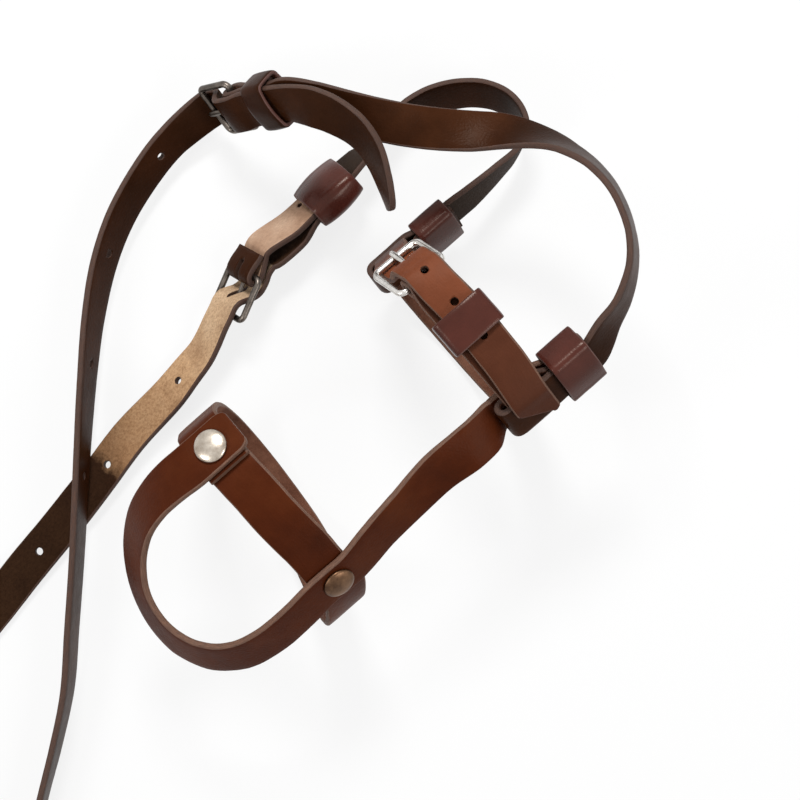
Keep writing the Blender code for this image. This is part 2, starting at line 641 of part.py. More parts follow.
    # Right shoulder strap: looped round the upper belt, over the bottle's shoulder, down to its buckle.
    belt_edge = -UPPER_W / 2 - SIDE_CLEARANCE
    points = edge_fold(right_loop, belt_edge, 1.0, 30.0, (sling_rest + LAYER, sling_rest + 2 * LAYER))
    points += [leaning(*p) for p in ((187.0, -32.0, 81.0, -58), (197.0, -28.6, 84.5, -68), (208.5, -20.7, 86.8, -74),
                                     (216.0, -10.8, 87.4, -76), (221.2, 2.8, 86.0, -75), (222.4, 15.3, 82.0, -72),
                                     (220.0, 28.0, 75.5, -65), (215.2, 39.0, 68.5, -50), (207.8, 49.3, 63.8, -30),
                                     (197.8, 58.6, 62.3, -12), (187.6, 68.7, 63.3, 2), (179.4, 77.9, 65.2, 12),
                                     (172.6, 86.7, 66.6, 20), (166.8, 95.5, 66.6, 28), (161.6, 104.3, 64.6, 34))]
    w = across(right_buckle)
    rise = STRAP_T / 2 + GAP / 2
    points += [fixed(place(right_buckle, -33.5, 0.0, rise), w + Vector((-0.08, 0.0, 0.05)))]
    points += [fixed(place(right_buckle, x, 0.0, rise), w) for x in (-27.5, -22.5, -17.5)]
    points += chape(right_buckle, 1.0, (-12.0, -18.0, -24.5), rise)
    right_run = Run(points)
    made = strap("right_strap", right_run, SHOULDER_W, leather("right_strap"), body)
    punch(made, "cut_right_strap", [fold_slot(right_buckle)])
    keeper("right_loop_keeper", moved_frame(right_loop, 21.3, 0, 0), sling_rest - STRAP_T / 2 - 1.6,
           sling_rest + 2 * LAYER + STRAP_T / 2 + 1.2, SLING_W + 2 * SIDE_CLEARANCE, LOOP_KEEPER_LENGTH,
           leather("right_loop_keeper", KEEPER_LEATHER), body)

    # Left shoulder strap: looped round the upper belt low on the other side, under the right one, to its buckle.
    points = edge_fold(left_loop, belt_edge, 1.0, 30.0, (-LAYER / 2, LAYER / 2))
    points += [leaning(*p) for p in ((187.0, 41.3, 20.6, 113), (201.0, 41.7, 18.4, 103), (212.5, 42.8, 16.2, 92),
                                     (220.3, 46.8, 14.6, 85), (223.6, 54.4, 13.4, 75), (222.8, 62.6, 12.6, 66),
                                     (218.0, 70.7, 12.2, 59), (210.0, 77.4, 12.0, 56), (201.0, 81.9, 12.0, 56),
                                     (191.6, 84.3, 12.0, 61), (182.0, 84.9, 12.0, 73), (172.2, 84.6, 12.0, 97),
                                     (162.5, 84.2, 12.1, 122), (153.5, 83.6, 12.3, 130), (144.3, 83.0, 12.5, 130),
                                     (135.0, 82.4, 12.7, 131), (124.0, 81.9, 13.0, 134))]
    w = across(left_buckle)
    points += chape(left_buckle, 1.0, (-9.5,), rise)
    left_run = Run(points)
    made = strap("left_strap", left_run, SHOULDER_W, leather("left_strap"), body)
    peep = left_run.frame(left_run.nearest(measured(132.0, 82.3, 12.8)))
    punch(made, "cut_left_strap", [fold_slot(left_buckle), (moved_frame(peep, 0, 3.5, 0), 1.1, 1.1, 2.0, True)])
    half_stack = LAYER / 2 + STRAP_T / 2 + 0.7
    keeper("left_loop_keeper", moved_frame(left_loop, 20.5, 0, 0), -half_stack, half_stack,
           SHOULDER_W + 2 * SIDE_CLEARANCE, LOOP_KEEPER_LENGTH, leather("left_loop_keeper", KEEPER_LEATHER), body)

    # Long strap: its two ends go through the two buckles and their keepers.
    keeper_two = left_run.frame(left_run.nearest(measured(144.3, 83.0, 12.5)))
    points = [fixed(place(keeper_two, x, 0.0, z), across(keeper_two))
              for x, z in ((-6.5, LAYER), (0.0, LAYER), (7.0, LAYER + 0.05), (12.5, LAYER + 0.5))]
    lower_line = left_run.frame(left_run.nearest(measured(124.0, 81.9, 13.0)))
    points += [fixed(place(lower_line, 0.0, 0.0, LAYER + 3.4), across(lower_line))]
    ahead = list(reversed(BILLET_PATH))
    w = across(left_buckle)
    points += [leaning(*p) for p in ((117.0, 77.0, 8.8, 134), (111.0, 77.2, 8.6, 134))]
    lead = [(-8.0, rise + LAYER + 3.2)]
    points += [fixed(place(left_buckle, x, 0.0, z), w) for x, z in lead + ahead]
    points += [leaning(*p) for p in ((62.2, 66.8, 9.0, 138), (51.6, 64.9, 7.4, 145), (40.6, 63.0, 6.2, 152),
                                     (16.2, 60.8, 4.4, 160), (-3.9, 56.8, 3.2, 167), (-29.7, 52.0, 2.35, 173),
                                     (-53.2, 48.2, 2.1, 180), (-75.3, 44.0, 2.4, 186), (-105.6, 39.3, 5.0, 202),
                                     (-136.3, 32.4, 8.0, 226), (-159.8, 21.6, 9.5, 250), (-177.6, 4.4, 9.7, 264),
                                     (-186.3, -18.0, 9.7, 269), (-183.5, -39.7, 9.7, 270), (-169.6, -52.0, 9.7, 270),
                                     (-148.3, -51.7, 9.7, 270), (-126.8, -40.6, 9.7, 270), (-107.6, -27.3, 9.8, 271),
                                     (-88.0, -13.9, 10.2, 273), (-71.1, -1.2, 11.2, 274), (-53.2, 16.1, 12.6, 275),
                                     (-32.6, 36.3, 13.4, 276), (-15.4, 53.9, 13.6, 277), (1.8, 71.6, 13.4, 279),
                                     (19.2, 89.0, 12.8, 283), (37.2, 105.9, 12.2, 289), (56.3, 120.7, 12.0, 296),
                                     (74.3, 130.4, 12.2, 302), (94.9, 137.0, 12.6, 308), (110.5, 139.6, 13.0, 311))]
    w = across(right_buckle, -1.0)
    closer = [(-7.5, rise + LAYER + 0.4), (-12.0, rise + LAYER), (-20.0, rise + LAYER), (-28.0, rise + LAYER + 0.3)]
    points += [fixed(place(right_buckle, x, 0.0, z), w) for x, z in BILLET_PATH + closer]
    points += [leaning(*p) for p in ((158.3, 104.4, 68.3, -36), (162.0, 97.0, 70.9, -42), (164.6, 87.9, 71.8, -52),
                                     (164.8, 78.7, 69.6, -62), (162.3, 69.7, 65.8, -71), (158.8, 61.8, 61.0, -78),
                                     (155.9, 56.3, 57.0, -83))]
    long_run = Run(points)
    made = strap("long_strap", long_run, SHOULDER_W, leather("long_strap"), body, ("round", "round"))
    tools = [billet_slot(left_buckle), billet_slot(right_buckle)]
    first = long_run.nearest(place(left_buckle, TONGUE_SLOT_X, 0.0, 1.6))
    last = long_run.nearest(place(right_buckle, TONGUE_SLOT_X, 0.0, 1.6))
    for k in range(1, SHOULDER_HOLES_PER_END + 1):
        for s in (first + SHOULDER_HOLE_PITCH * k, last - SHOULDER_HOLE_PITCH * k):
            tools.append((long_run.frame(s), HOLE_R, HOLE_R, 2.0, True))
    punch(made, "cut_long_strap", tools)

    dark = lambda name: material(name, AGED_BRASS, 0.9, 0.34)
    buckle_frame("right_buckle_frame", right_buckle, SHOULDER_W, dark("right_buckle_frame"), body)
    buckle_tongue("right_buckle_tongue", right_buckle, dark("right_buckle_tongue"), body)
    buckle_frame("left_buckle_frame", left_buckle, SHOULDER_W, material("left_buckle_frame", BLACKENED, 0.8, 0.4), body)
    buckle_tongue("left_buckle_tongue", left_buckle, material("left_buckle_tongue", BLACKENED, 0.8, 0.4), body)
    high = rise + LAYER + STRAP_T / 2 + 0.75
    low = rise - LAYER - STRAP_T / 2 - 0.4
    keeper("right_buckle_keeper", moved_frame(right_buckle, -20.5, 0, 0), low, high, SHOULDER_W + 2 * SIDE_CLEARANCE,
           SHORT_KEEPER_LENGTH, leather("right_buckle_keeper", KEEPER_LEATHER), body)
    keeper("left_buckle_keeper", keeper_two, -STRAP_T / 2 - 0.7, LAYER + STRAP_T / 2 + 1.1,
           SHOULDER_W + 2 * SIDE_CLEARANCE, LONG_KEEPER_LENGTH, leather("left_buckle_keeper", KEEPER_LEATHER), body)
    return body


build()
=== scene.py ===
"""Looks of the leather crossbody cup holder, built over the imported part, with its light and camera."""
import math

import bmesh
import bpy
from mathutils import Matrix, Vector, noise

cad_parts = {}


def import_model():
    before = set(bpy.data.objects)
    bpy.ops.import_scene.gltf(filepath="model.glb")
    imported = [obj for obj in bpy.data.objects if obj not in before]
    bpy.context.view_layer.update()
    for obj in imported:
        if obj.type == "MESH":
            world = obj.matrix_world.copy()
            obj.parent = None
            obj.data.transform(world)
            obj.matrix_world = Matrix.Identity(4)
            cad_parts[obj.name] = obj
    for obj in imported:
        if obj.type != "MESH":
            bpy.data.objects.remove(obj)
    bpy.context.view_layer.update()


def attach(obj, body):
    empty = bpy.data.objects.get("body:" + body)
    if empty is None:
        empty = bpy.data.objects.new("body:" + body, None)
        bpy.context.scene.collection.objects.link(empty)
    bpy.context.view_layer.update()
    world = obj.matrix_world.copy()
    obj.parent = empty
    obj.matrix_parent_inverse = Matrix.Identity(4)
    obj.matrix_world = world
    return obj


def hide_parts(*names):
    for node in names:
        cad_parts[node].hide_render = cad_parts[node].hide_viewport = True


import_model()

# The part's own sizes in millimetres. The solids' source has the same values.
MM = 0.001

# The bottle that the holder is cut for, and the leather.
BOTTLE_R = 40.0
STRAP_T = 2.6
GAP = 0.3
KEEPER_T = 1.8
SIDE_CLEARANCE = 0.6

# Strap widths.
SHOULDER_W = 16.5
UPPER_W = 16.0
LOWER_W = 18.5
SLING_W = 18.0

# Buckles: one round wire bent to a frame, heel bar to outer bar on the wire's centre line.
WIRE_R = 1.35
FRAME_LENGTH = 18.3
FRAME_SIDE_CLEARANCE = 1.4
FRAME_CORNER_R = 2.5
TONGUE_R = 0.9
TONGUE_CLEARANCE = 0.15
SLOT_CLEARANCE = 0.45

# Rivets: domed cap, washer and pin.
CAP_R = 6.4
CAP_H = 2.7
WASHER_R = 5.2
WASHER_T = 1.2
PIN_R = 1.6
PIN_CLEARANCE = 0.2

# Punched holes.
HOLE_R = 1.6
BELT_HOLE_PITCH = 16.2
SHOULDER_HOLE_PITCH = 46.0
SHOULDER_HOLES_PER_END = 4

# Keepers: length along the strap.
BELT_KEEPER_LENGTH = 14.5
LOOP_KEEPER_LENGTH = 16.5
SHORT_KEEPER_LENGTH = 12.0
LONG_KEEPER_LENGTH = 22.0

# Length of the belt's slanted end, as a share of its width.
SLANT = 0.6

# Where the belts cross the bottle's length, from its base.
LOWER_X = 47.0
UPPER_X = 146.3

# The model's centre above the table, so that the frame's origin is under the middle of its box.
CENTRE_X = 19.72
CENTRE_Y = 46.2

# Values that follow from the sizes above. The free runs were measured for a bottle of that radius.
UNIT = BOTTLE_R / 40.0
HALF_T = STRAP_T / 2
LAYER = STRAP_T + GAP
LIFT = STRAP_T + 0.4
AXIS_Z = BOTTLE_R + LIFT
FOLD_R = WIRE_R + 0.35 + HALF_T
EDGE_FOLD_R = LAYER
RISE = HALF_T + GAP / 2
BELT_EDGE = -UPPER_W / 2 - SIDE_CLEARANCE
RIVET_HOLE_R = PIN_R + PIN_CLEARANCE
HELD_W = SHOULDER_W + 2 * SIDE_CLEARANCE

# A belt's distance off the bottle's wall on the table, and the sling's height inside its keeper.
UNDER = LIFT - HALF_T
SLING_REST = -3.1

# How finely a run and its strap are divided.
DENSE = 1.0
STEP = 1.6
TURN_STEP = math.radians(5.0)
LEAST_STEP = 0.35
TWIST_SHARE = 0.7

# Ends of straps: how far a corner's rounding reaches, and the share of the width left at the very end.
SLANT_CORNER = 1.6
SLANT_END = 0.86
ROUND_END = 0.22
BLUNT_REACH = 0.28
BLUNT_END = 0.72
SLANT_SIDE = 0.62

# How far the folded end of a shoulder strap reaches past the belt that it loops round.
FOLD_TAIL = 30.0

# The slot in a belt that lies in a buckle, from the heel bar, and its cutter.
TONGUE_SLOT_X = 8.7
TONGUE_SLOT_Z = 1.6
TONGUE_SLOT_HALF = 3.5
SLOT_CUT = 5.2
FOLD_SLOT_HALF = 4.3
FOLD_SLOT_CUT = 4.6
FOLD_SLOT_TILT = math.radians(6.0)

# Hand-made unevenness of a strap: its reach along it, its width and its surface, in millimetres.
UNEVEN_REACH = 26.0
UNEVEN = 0.22
DENT_REACH = 3.0
DENT = 0.05

# Keepers: corner radius, the bulge of their sides and the unevenness of their surface.
KEEPER_CORNER_R = 2.3
SIDE_CROWN = 0.15
KEEPER_DENT_REACH = 5.0
KEEPER_DENT = 0.07

# Without a seed, Blender shifts the noise behind this unevenness by another amount on each run.
noise.seed_set(1)

# The flattened tip of a tongue: where it starts, how long it takes and how much wider it gets.
TIP_FROM = 11.0
TIP_REACH = 4.0
TIP_SPREAD = 0.35

# The photograph's view: straight down, turned so that the bottle's length runs to the upper right.
VIEW_RIGHT = Vector((0.7511, -0.6602, 0.0))
VIEW_UP = Vector((0.6602, 0.7511, 0.0))
CAMERA_AT = (110.1, -1.83, 793.0)
SENSOR = 36.0
LENS = 85.66

# The floor: half its side and its drop in metres, its grey and its share of plain white.
FLOOR_HALF = 12.0
FLOOR_DROP = 0.0004
FLOOR_GREY = 0.86
FLOOR_WHITE = 0.82

# How much the white surroundings light the object.
AMBIENT = 0.22

# Lamps: name, metres to the picture's right, to its top and up from LIT_AT, size in metres and watts.
LIT_AT = (95.0, 20.0, 40.0)
LAMPS = (
    ("key", -0.1, 0.75, 0.85, (0.3, 0.22), 10.0),
    ("fill", 0.7, -0.25, 0.75, (0.45, 0.45), 4.0),
    ("low", -0.75, -0.3, 0.7, (0.35, 0.35), 3.6),
)

# The way along the bottle, which is the belts' width direction.
ALONG = Vector((1, 0, 0))

# The straps, in the order in which they are made.
STRAPS = ("lower_belt", "sling_strap", "upper_belt", "right_strap", "left_strap", "long_strap")

# Surfaces of a strap: its grain side, its cut edges and its flesh side.
GRAIN, EDGE, FLESH = 0, 1, 2


def local_frame(origin, along, out):
    """Matrix with X along the strap, Z out of its grain side and the given origin."""
    x = along.normalized()
    z = (out - x * out.dot(x)).normalized()
    y = z.cross(x)
    matrix = Matrix((x, y, z)).transposed().to_4x4()
    matrix.translation = origin
    return matrix


def around(angle, extra, x):
    """Point at an angle from the bottle's top towards its right side, extra mm off its wall."""
    r = BOTTLE_R + extra
    a = math.radians(angle)
    return Vector((x, -r * math.sin(a), AXIS_Z + r * math.cos(a)))


def outward(angle):
    """The way off the bottle's wall at an angle from its top towards its right side."""
    a = math.radians(angle)
    return Vector((0.0, -math.sin(a), math.cos(a)))


def place(matrix, x, y, z):
    """Local point to a world point."""
    return matrix @ Vector((x, y, z))


def across(matrix, sign=1.0):
    """A local frame's width direction."""
    return matrix.to_3x3() @ Vector((0.0, sign, 0.0))


def measured(x, y, z):
    """A point given in fortieths of the bottle's radius, so that the straps' free runs follow its size."""
    return Vector((x, y, z)) * UNIT


def leanings(points):
    """Measured points, with the grain side turned so many degrees from up to the left of travel."""
    return [(measured(x, y, z), None, lean) for x, y, z, lean in points]


def fixed(point, width):
    """A point of a run with a known width direction."""
    return (point, width, None)


def placed(matrix, points, sign=1.0):
    """Points of a strap along a local frame: lengths and heights."""
    return [fixed(place(matrix, x, 0.0, z), across(matrix, sign)) for x, z in points]


def laid(matrix, height, places):
    """Points of a belt that crosses a local frame at a height: places on its Y axis."""
    return [fixed(place(matrix, 0.0, y, height), ALONG) for y in places]


def girth(x, points):
    """Points of a belt round the bottle: angle, distance off its wall and shift along it."""
    return [fixed(around(angle, extra, x + shift), ALONG) for angle, extra, shift in points]


def tangents(points):
    """Non-uniform Catmull-Rom slopes and knots, so close and far points can follow each other."""
    knots = [0.0]
    for a, b in zip(points, points[1:]):
        knots.append(knots[-1] + math.sqrt(max((b - a).length, 1e-6)))
    chords = [(b - a) / (t - s) for a, b, s, t in zip(points, points[1:], knots, knots[1:])]
    slopes = [chords[0]]
    for i in range(1, len(points) - 1):
        earlier = knots[i] - knots[i - 1]
        later = knots[i + 1] - knots[i]
        slopes.append((chords[i - 1] * later + chords[i] * earlier) / (knots[i + 1] - knots[i - 1]))
    return knots, slopes + [chords[-1]]


class Run:
    """A strap's centre line: closely spaced points with the width direction at each."""

    def __init__(self, controls):
        points = [c[0] for c in controls]
        knots, slopes = tangents(points)
        widths = []
        for (point, width, lean), slope in zip(controls, slopes):
            ahead = slope.normalized()
            if width is None:
                left = Vector((0, 0, 1)).cross(ahead).normalized()
                up = ahead.cross(left)
                a = math.radians(lean)
                width = left * math.cos(a) - up * math.sin(a)
            width = width - ahead * width.dot(ahead)
            widths.append(width.normalized())
        self.points = []
        self.widths = []
        for i in range(len(points) - 1):
            span = knots[i + 1] - knots[i]
            count = max(2, math.ceil((points[i + 1] - points[i]).length / DENSE))
            for j in range(count):
                t = j / count
                a = 2 * t ** 3 - 3 * t ** 2 + 1
                b = (t ** 3 - 2 * t ** 2 + t) * span
                c = -2 * t ** 3 + 3 * t ** 2
                d = (t ** 3 - t ** 2) * span
                self.points.append(points[i] * a + slopes[i] * b + points[i + 1] * c + slopes[i + 1] * d)
                self.widths.append(widths[i].lerp(widths[i + 1], t))
        self.points.append(points[-1].copy())
        self.widths.append(widths[-1].copy())
        self.length_at = [0.0]
        for a, b in zip(self.points, self.points[1:]):
            self.length_at.append(self.length_at[-1] + (b - a).length)
        self.length = self.length_at[-1]
        self.ahead = []
        last = len(self.points) - 1
        for i in range(len(self.points)):
            step = self.points[min(i + 1, last)] - self.points[max(i - 1, 0)]
            self.ahead.append(step.normalized())
        for i, ahead in enumerate(self.ahead):
            width = self.widths[i] - ahead * self.widths[i].dot(ahead)
            self.widths[i] = width.normalized()

    def at(self, s):
        """Centre, direction and width direction at a length along the run."""
        s = min(max(s, 0.0), self.length)
        i = 0
        while i < len(self.length_at) - 2 and self.length_at[i + 1] < s:
            i += 1
        t = (s - self.length_at[i]) / (self.length_at[i + 1] - self.length_at[i])
        point = self.points[i].lerp(self.points[i + 1], t)
        ahead = self.ahead[i].lerp(self.ahead[i + 1], t).normalized()
        width = self.widths[i].lerp(self.widths[i + 1], t)
        width = (width - ahead * width.dot(ahead)).normalized()
        return point, ahead, width

    def frame(self, s):
        """Local frame at a length along the run: X ahead, Z out of the grain side."""
        point, ahead, width = self.at(s)
        return local_frame(point, ahead, ahead.cross(width))

    def nearest(self, target):
        """Length along the run of the point nearest to a target."""
        best = min(range(len(self.points)), key=lambda i: (self.points[i] - target).length)
        return self.length_at[best]

    def stations(self, extra):
        """Lengths at which the strap gets a cross section: even steps, closer on bends and twists."""
        chosen = [0.0]
        turned = 0.0
        for i in range(1, len(self.points) - 1):
            turned += self.ahead[i].angle(self.ahead[i - 1], 0.0)
            turned += TWIST_SHARE * self.widths[i].angle(self.widths[i - 1], 0.0)
            if self.length_at[i] - chosen[-1] >= STEP or turned >= TURN_STEP:
                chosen.append(self.length_at[i])
                turned = 0.0
        chosen.append(self.length)
        merged = sorted(set(round(s, 3) for s in chosen + extra if 0.0 <= s <= self.length))
        kept = [merged[0]]
        for s in merged[1:]:
            if s - kept[-1] > LEAST_STEP or s == merged[-1]:
                kept.append(s)
        return kept


def rounding(distance, reach, end):
    """Share of the width left where a rounded corner reaches some way in from an end."""
    if distance >= reach:
        return 1.0
    return end + (1.0 - end) * math.sqrt(1.0 - (1.0 - distance / reach) ** 2)


def tip_factor(kind, distance, width):
    """Share of a strap's half width left at a distance from its end."""
    distance = max(distance, 0.0)
    if kind == "slant":
        return rounding(distance, SLANT_CORNER, SLANT_END)
    if kind == "round":
        return max(ROUND_END, rounding(distance, 0.5 * width, 0.0))
    if kind == "blunt":
        return rounding(distance, BLUNT_REACH * width, BLUNT_END)
    return 1.0


def slant_factor(kind, distance, width):
    """The same share for the shorter side of a slanted end, where it passes the middle and turns negative."""
    reach = SLANT * width
    if kind != "slant" or distance >= reach:
        return 1.0
    return -SLANT_SIDE + (1.0 + SLANT_SIDE) * max(distance, 0.0) / reach


def moved_frame(matrix, x, y, z):
    """A local frame shifted within itself."""
    shifted = matrix.copy()
    shifted.translation = matrix @ Vector((x, y, z))
    return shifted


def arc(r, start, way):
    """Points of a half turn round a bar: along and height, from a height of r at the start."""
    turns = (30, 60, 90, 120, 150)
    return [(way * r * math.sin(math.radians(a)), start * r * math.cos(math.radians(a))) for a in turns]


def chape(matrix, tail):
    """Fold of a strap round a heel bar: outer layer towards the bar, round it, and the folded end."""
    r = FOLD_R
    out = [(-12.0, RISE), (-7.5, RISE + 0.25), (-3.2, r - 0.2), (0.0, r)]
    back = [(0.0, -r), (-3.2, -r + 0.2), (-7.5, RISE - LAYER - 0.25)] + [(x, RISE - LAYER) for x in tail]
    return placed(matrix, out + arc(r, 1, 1) + back)


# A strap's free end in a buckle: in under the outer bar, up over the heel bar and its fold.
BILLET_PATH = [
    (23.0, -3.3), (FRAME_LENGTH, -3.05), (14.8, -3.0), (12.2, -2.0), (10.2, 0.4), (8.2, 3.4), (5.6, 5.5),
    (2.6, 6.35), (0.0, 6.4), (-3.4, 6.1)]


def hole(matrix, r, reach):
    """A round cutter that reaches so far to both sides of a strap's middle."""
    return (matrix, r, r, reach, True)


def billet_slot(matrix):
    """The punched hole that the tongue goes through, stretched along the strap."""
    slot = moved_frame(matrix, TONGUE_SLOT_X, 0.0, TONGUE_SLOT_Z)
    return (slot, TONGUE_SLOT_HALF, TONGUE_R + SLOT_CLEARANCE, SLOT_CUT, True)


def fold_slot(matrix):
    """The slot in the fold that the tongue's loop works in, tilted clear of the strap that lies over it."""
    tilted = moved_frame(matrix, 0.2, 0.0, 0.0) @ Matrix.Rotation(FOLD_SLOT_TILT, 4, "Y")
    return (tilted, FOLD_SLOT_HALF, TONGUE_R + SLOT_CLEARANCE, FOLD_SLOT_CUT, False)


def edge_fold(matrix, inner, outer):
    """A shoulder strap's end looped round the upper belt's edge: inner layer, fold, outer layer."""
    r = EDGE_FOLD_R
    flat = [(FOLD_TAIL, inner), (22.0, inner), (14.4, inner), (12.4, inner - 0.05), (10.4, (inner - r) / 2),
            (8.4, -r), (0.0, -r), (BELT_EDGE * 0.7, -r), (BELT_EDGE, -r)]
    bend = [(BELT_EDGE + x, z) for x, z in arc(r, -1, -1)]
    back = [(BELT_EDGE, r), (BELT_EDGE * 0.7, r), (0.0, r), (8.6, r), (10.9, (outer + r) / 2), (13.2, outer),
            (15.0, outer), (22.0, outer), (FOLD_TAIL, outer)]
    return placed(matrix, flat + bend + back)


def world(point):
    """A point in millimetres as one in the frame, in metres."""
    return (Vector(point) - Vector((CENTRE_X, CENTRE_Y, 0.0))) * MM


def wander(point, size, amount):
    """A small smooth offset that changes over size millimetres."""
    return noise.noise_vector(Vector(point) / size) * amount


def strap_section(half, thickness):
    """Outline of a cut strap round its middle: distance across, height, and the surface that starts there."""
    t = 0.5 * thickness
    half = max(half, 1.0)
    flat = half - 0.8
    grain = [(-flat + 2 * flat * k / 8, t - 0.1 * abs(2 * k / 8 - 1) ** 4, GRAIN) for k in range(9)]
    right = [(half - 0.42, t - 0.19, EDGE), (half - 0.14, t - 0.46, EDGE), (half, t - 0.9, EDGE),
             (half, -t + 0.7, EDGE), (half - 0.1, -t + 0.32, EDGE), (half - 0.34, -t + 0.08, FLESH)]
    flesh = [(flat - 2 * flat * k / 8, -t, FLESH) for k in range(9)]
    left = [(-y, z, EDGE) for y, z, _ in reversed(right)]
    grain[-1] = (*grain[-1][:2], EDGE)
    flesh[-1] = (*flesh[-1][:2], EDGE)
    left[-1] = (*left[-1][:2], GRAIN)
    return grain + right + flesh + left


def linked(name, data):
    """A new object in the scene."""
    made = bpy.data.objects.new(name, data)
    bpy.context.scene.collection.objects.link(made)
    return made


def mesh_of(made):
    """A new mesh of an object as it stands, with its modifiers or its bevel worked in."""
    return bpy.data.meshes.new_from_object(made.evaluated_get(bpy.context.evaluated_depsgraph_get()))


def object_of(name, shape, surfaces):
    """A new object from a bmesh, with its materials in order."""
    mesh = bpy.data.meshes.new(name)
    shape.to_mesh(mesh)
    shape.free()
    for surface in surfaces:
        mesh.materials.append(surface)
    return linked(name, mesh)


def dress(made, node, body):
    """A piece stands for its solid: the solid is hidden and the piece rides on that solid's body."""
    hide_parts(node)
    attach(made, body)


def sweep(name, rings, along, kinds, surfaces, cyclic=False):
    """A leather piece from rings of points, with a UV map of centimetres along and round."""
    shape = bmesh.new()
    uv = shape.loops.layers.uv.new("strap")
    rows = [[shape.verts.new(world(p)) for p in ring] for ring in rings]
    count = len(rings[0])
    round_at = [0.0]
    middle = rings[len(rings) // 2]
    for j in range(count):
        round_at.append(round_at[-1] + (middle[(j + 1) % count] - middle[j]).length / 10)
    for i in range(len(rows) if cyclic else len(rows) - 1):
        row, after = rows[i], rows[(i + 1) % len(rows)]
        for j in range(count):
            k = (j + 1) % count
            face = shape.faces.new((row[j], row[k], after[k], after[j]))
            face.material_index = kinds[j]
            face.smooth = True
            places = ((i, j), (i, j + 1), (i + 1, j + 1), (i + 1, j))
            for loop, (a, b) in zip(face.loops, places):
                loop[uv].uv = (along[a] / 10, round_at[b])
    if not cyclic:
        for row in (rows[0], rows[-1]):
            shape.faces.new(row).material_index = EDGE
    bmesh.ops.recalc_face_normals(shape, faces=shape.faces)
    return object_of(name + "_leather", shape, surfaces)


def strap(name, run, width, *cuts, tips=("square", "square")):
    """A strap along a run, with rounded cut edges and slightly uneven, then cut by groups of tools."""
    extra = []
    for kind, base, sign in ((tips[0], 0.0, 1.0), (tips[1], run.length, -1.0)):
        if kind != "square":
            extra += [base + sign * 0.5 * width * (1.0 - math.cos(math.radians(a))) for a in range(12, 91, 8)]
    rings = []
    along = run.stations(extra)
    for s in along:
        point, ahead, side = run.at(s)
        up = ahead.cross(side)
        factor = min(tip_factor(tips[0], s, width), tip_factor(tips[1], run.length - s, width))
        uneven = wander(point, UNEVEN_REACH, UNEVEN)
        half = 0.5 * width * factor + 0.5 * uneven.x
        short = half * slant_factor(tips[1], run.length - s, width)
        point = point + side * (0.5 * (half - short))
        outline = strap_section(0.5 * (half + short), STRAP_T + 0.25 * uneven.y)
        ring = [point + side * y + up * z for y, z, _ in outline]
        rings.append([p + wander(p, DENT_REACH, DENT) for p in ring])
    kinds = [kind for _, _, kind in strap_section(0.5 * width, STRAP_T)]
    made = sweep(name, rings, along, kinds, LEATHER_OF.get(name, LEATHER_OF["default"]))
    for tools in cuts:
        punch(made, tools)


def punch(made, tools):
    """Cut holes and slots in one strap. Their walls get the colour of a cut edge."""
    shape = bmesh.new()
    for matrix, half_x, half_y, half_z, round_tool in tools:
        moved = matrix.copy()
        moved.translation = world(matrix.translation)
        moved = moved @ Matrix.Diagonal((half_x * MM, half_y * MM, half_z * MM, 1.0))
        if round_tool:
            bmesh.ops.create_cone(shape, cap_ends=True, segments=40, radius1=1.0, radius2=1.0, depth=2.0,
                                  matrix=moved)
        else:
            bmesh.ops.create_cube(shape, size=2.0, matrix=moved)
    for face in shape.faces:
        face.material_index = EDGE
    bmesh.ops.recalc_face_normals(shape, faces=shape.faces)
    cutter = object_of(made.name + "_cutter", shape, made.data.materials)
    cut = made.modifiers.new("holes", "BOOLEAN")
    cut.operation = "DIFFERENCE"
    cut.solver = "EXACT"
    cut.object = cutter
    mesh = mesh_of(made)
    made.modifiers.clear()
    made.data = mesh
    bpy.data.objects.remove(cutter)


def rounded_corners(low, high, r, steps):
    """A rectangle's rounded corners as lists of points, from the upper right against the clock."""
    centres = ((high[0] - r, high[1] - r), (low[0] + r, high[1] - r), (low[0] + r, low[1] + r),
               (high[0] - r, low[1] + r))
    corners = []
    for i, (x, y) in enumerate(centres):
        turns = [math.radians(90.0 * (i + k / steps)) for k in range(steps + 1)]
        corners.append([(x + r * math.cos(a), y + r * math.sin(a)) for a in turns])
    return corners


